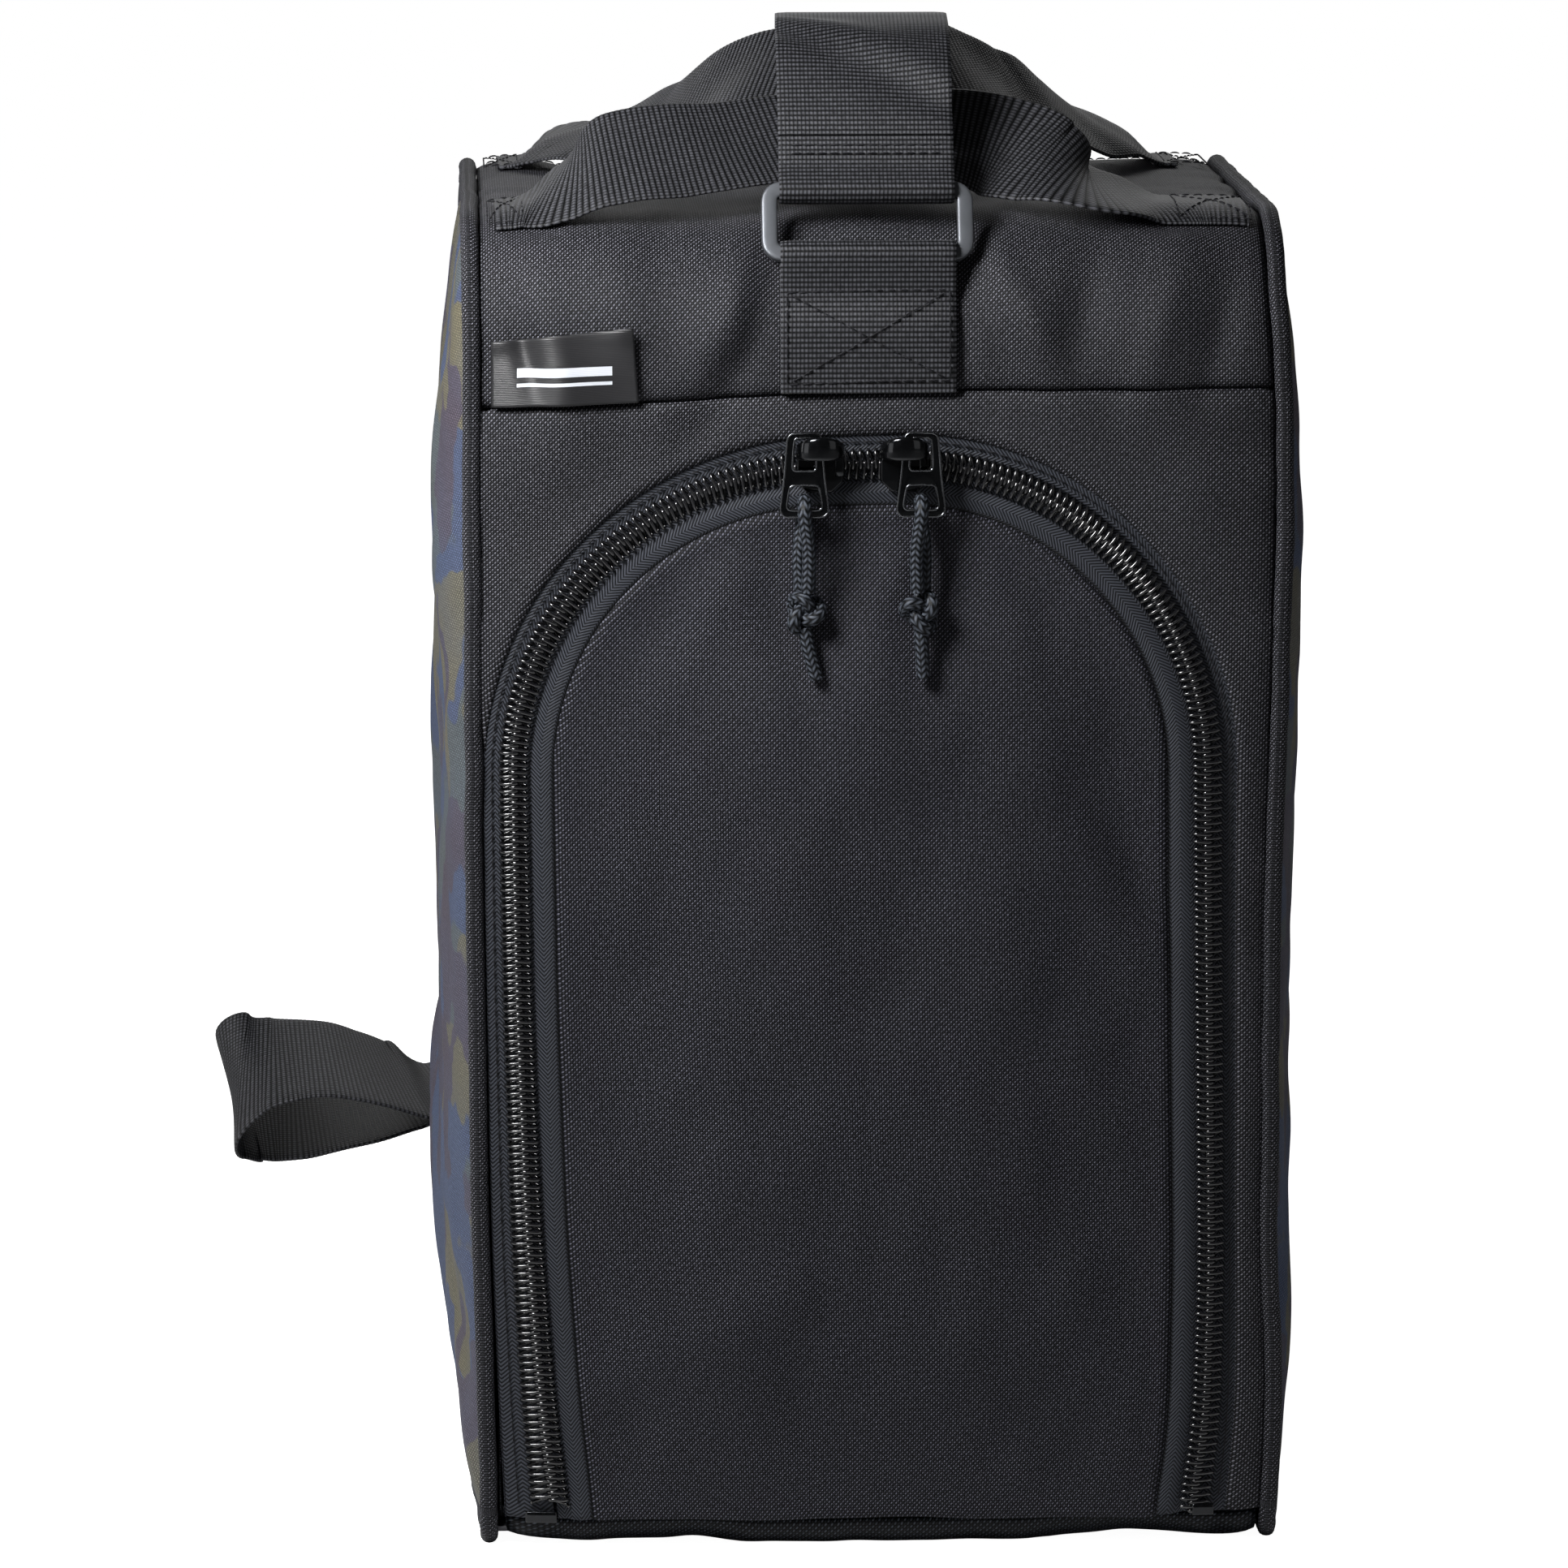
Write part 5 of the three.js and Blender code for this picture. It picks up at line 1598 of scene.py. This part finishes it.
# ---- Lining ----
LINING_DEPTH = 7.2
LINING_HALF = 108.5
LINING_STEP = 3.0


def make_lining_body():
    """The lining's tube, open behind the flap."""
    s = np.arange(OUTLINE_S[0], OUTLINE_S[-1], LINING_STEP)
    x = np.linspace(-LINING_HALF, LINING_HALF, 74)
    grid_x, grid_s = np.meshgrid(x, s, indexing="xy")
    y, z, ny, nz = outline_at(grid_s)
    loose = -LINING_DEPTH + 1.4 * layered(grid_x / 30, grid_s / 45, 41)
    points = np.stack([grid_x, y + ny * loose, z + nz * loose], -1)
    quads = grid_quads(len(s), len(x), wrap_rows=True)
    middle = points.reshape(-1, 3)[quads].mean(1)
    front = middle[:, 1] < FRONT_Y + 14
    opening = front & (arch_distance(middle[:, 0], middle[:, 2]) < 4) & (middle[:, 2] > BASE_SEAM_Z + 3)
    return mesh_object("lining_body", points, quads[~opening], np.stack([grid_x, grid_s], -1), mat_lining)


def make_lining_wall(name, side):
    """One end wall of the lining, slack in its middle."""
    s = np.arange(OUTLINE_S[0], OUTLINE_S[-1], LINING_STEP)
    y, z, ny, nz = outline_at(s)
    rim = np.stack([y - ny * LINING_DEPTH, z - nz * LINING_DEPTH], -1)
    share = np.linspace(0, 1, 40)
    flat = SIDE_CENTRE + (rim[:, None] - SIDE_CENTRE) * share[None, :, None]
    loose = 1.5 * layered(flat[..., 0] / 40, flat[..., 1] / 50, 43 + side) * (1 - share[None] ** 8)
    x = side * LINING_HALF + loose - side * 1.5 * (1 - share[None] ** 4)
    quads = grid_quads(len(s), len(share), wrap_rows=True)
    if side < 0:
        quads = quads[:, ::-1]
    points = np.stack([x, flat[..., 0], flat[..., 1]], -1)
    return weld(mesh_object("lining_" + name, points, quads, flat, mat_lining), 0.05)


def make_lining():
    """The lining bag: its tube and its two end walls."""
    pieces = [make_lining_body(), make_lining_wall("left", -1), make_lining_wall("right", 1)]
    for piece in pieces:
        assign(thicken(piece, 0.5), "root", "lining_cloth", "lining")


def make_flap_lining():
    """The sheet behind the flap's cloth."""
    points, uv = flap_fan(-2.5, lambda inward: -3.2 + 0.4 * np.exp(-inward / 3))
    quads = grid_quads(*points.shape[:2])
    piece = weld(mesh_object("flap_lining_cloth", points, quads, uv, mat_lining), 0.05)
    assign(thicken(piece, 0.7), "flap", "lining_cloth", "flap_lining")


# ---- Floor and light ----
FLOOR_HALF = 6000
FLOOR_Z = -0.3
FLOOR_BRIGHTNESS = 0.97
AMBIENT = 0.035
LIGHTS = {  # place, aim, size, watts
    "key": ((-290, -450, 610), (-80, -150, 340), (190, 190), 5.4),
    "fill": ((1700, -1300, 700), (60, -50, 200), (1200, 1200), 2.5),
    "rim": ((0, 1900, 1250), (0, 0, 380), (2400, 900), 12),
    "low": ((-1500, -800, 240), (-120, -60, 150), (700, 500), 1.6),
    "side": ((-1500, 300, 500), (-120, 0, 200), (900, 900), 10),
}


def make_stage():
    """A white floor, as bright to look at as the sweep behind it."""
    material, tree, shader = new_material("floor")
    nodes = Nodes(tree)
    shader.inputs["Base Color"].default_value = (0.8, 0.8, 0.8, 1)
    shader.inputs["Roughness"].default_value = 0.9
    shader.inputs["Emission Color"].default_value = (1, 1, 1, 1)
    seen = nodes.add("ShaderNodeLightPath").outputs["Is Camera Ray"]
    nodes.link(nodes.spread(seen, 0.0, 1.0, 0.0, FLOOR_BRIGHTNESS), shader.inputs["Emission Strength"])
    corners = [(FLOOR_HALF * x, FLOOR_HALF * y, FLOOR_Z) for x, y in ((-1, -1), (1, -1), (1, 1), (-1, 1))]
    floor = mesh_object("floor", corners, np.array([[0, 1, 2, 3]]), None, material)


def make_light(name, place, aim, size, watts):
    """A rectangular area light that faces its aim."""
    data = bpy.data.lights.new(name, "AREA")
    data.shape = "RECTANGLE"
    data.size, data.size_y = size[0] * MM, size[1] * MM
    data.energy = watts
    light = bpy.data.objects.new(name, data)
    light.location = Vector(place) * MM
    light.rotation_mode = "QUATERNION"
    light.rotation_quaternion = (Vector(aim) - Vector(place)).to_track_quat("-Z", "Y")
    bpy.context.scene.collection.objects.link(light)


def make_world():
    """White to look at, dimmer as a source of light."""
    world = bpy.data.worlds.new("studio")
    bpy.context.scene.world = world
    world.use_nodes = True
    tree = world.node_tree
    background = tree.nodes["Background"]
    background.inputs["Color"].default_value = (1, 1, 1, 1)
    seen = tree.nodes.new("ShaderNodeLightPath")
    level = tree.nodes.new("ShaderNodeMapRange")
    level.inputs["To Min"].default_value = AMBIENT
    level.inputs["To Max"].default_value = 1.0
    tree.links.new(seen.outputs["Is Camera Ray"], level.inputs["Value"])
    tree.links.new(level.outputs["Result"], background.inputs["Strength"])


# ---- The whole scene ----
make_stage()
make_world()
for light_name, light in LIGHTS.items():
    make_light(light_name, *light)
bpy.context.scene.view_settings.view_transform = "Standard"

SIDES = (("left", -1), ("right", 1))
for side_name, side_sign in SIDES:
    make_pull(side_name, side_sign)
make_gusset_sheets()
make_front_panel()
make_flap()
make_tapes()
make_coil("outer_coil", 1, "root", "body_zip_coil")
make_coil("inner_coil", -1, "flap", "flap_zip_coil")
for side_name, side_sign in SIDES:
    make_piping(side_name, side_sign)
    make_side_panel(side_name, side_sign)
    make_zip_stop(side_name)
make_label()
make_tab("front", front_surface, *FRONT_TAB)
make_tab("back", back_surface, *BACK_TAB)
for make_part in (make_ring, make_strap_end):
    for ring_name, ring_lean in (("front", FRONT_LEAN), ("back", BACK_LEAN)):
        make_part(ring_name, joint_mm(ring_name + "_ring_swing"), ring_lean)
make_strap()
make_handle("front_handle", FRONT_HANDLE, FRONT_HANDLE_S, *FRONT_HANDLE_FREE)
make_handle("back_handle", BACK_HANDLE, BACK_HANDLE_S, *BACK_HANDLE_FREE)
make_lining()
make_flap_lining()

for row_name, row_s in (("yoke", YOKE_Z - 2.4), ("top_seam", TOP_SEAM_S - 2.6)):
    gusset_stitches(row_name + "_stitches", [[(-SEAM_STITCH_HALF, row_s), (SEAM_STITCH_HALF, row_s)]])
arch_stitches("front_edge_stitches", OUTER_TAPE + 1.8, "root", "gusset_cloth", 0.5)
arch_stitches("flap_edge_stitches", -(INNER_TAPE + 1.6), "flap", "flap_cloth", 0.4)
arch_stitches("outer_coil_stitches", 6.3, "root", "zip_tape", 0.6)
arch_stitches("inner_coil_stitches", -6.3, "flap", "zip_tape", 0.6)
for handle_name, seat_s, ends in (("front", FRONT_HANDLE_S, (88, 109)), ("back", BACK_HANDLE_S, (96, 109))):
    for side_name, (x_low, x_high) in (("right", ends), ("left", (-110, -100))):
        routes = box_stitch_routes(x_low, x_high, seat_s - HANDLE_STITCH_HALF, seat_s + HANDLE_STITCH_HALF)
        gusset_stitches(f"{handle_name}_handle_{side_name}_stitches", routes, "webbing", WEBBING + 0.3)
for row_name, low_s, high_s in (
    ("back_tab", TOP_BACK_S + 24, TOP_BACK_S + 48),
    ("tab", YOKE_Z + 3.8, YOKE_Z + 29),
):
    routes = box_stitch_routes(STRAP_X - TAB_STITCH_HALF, STRAP_X + TAB_STITCH_HALF, low_s, high_s)
    gusset_stitches(row_name + "_stitches", routes, "webbing", LAYER_OUT + WEBBING / 2)
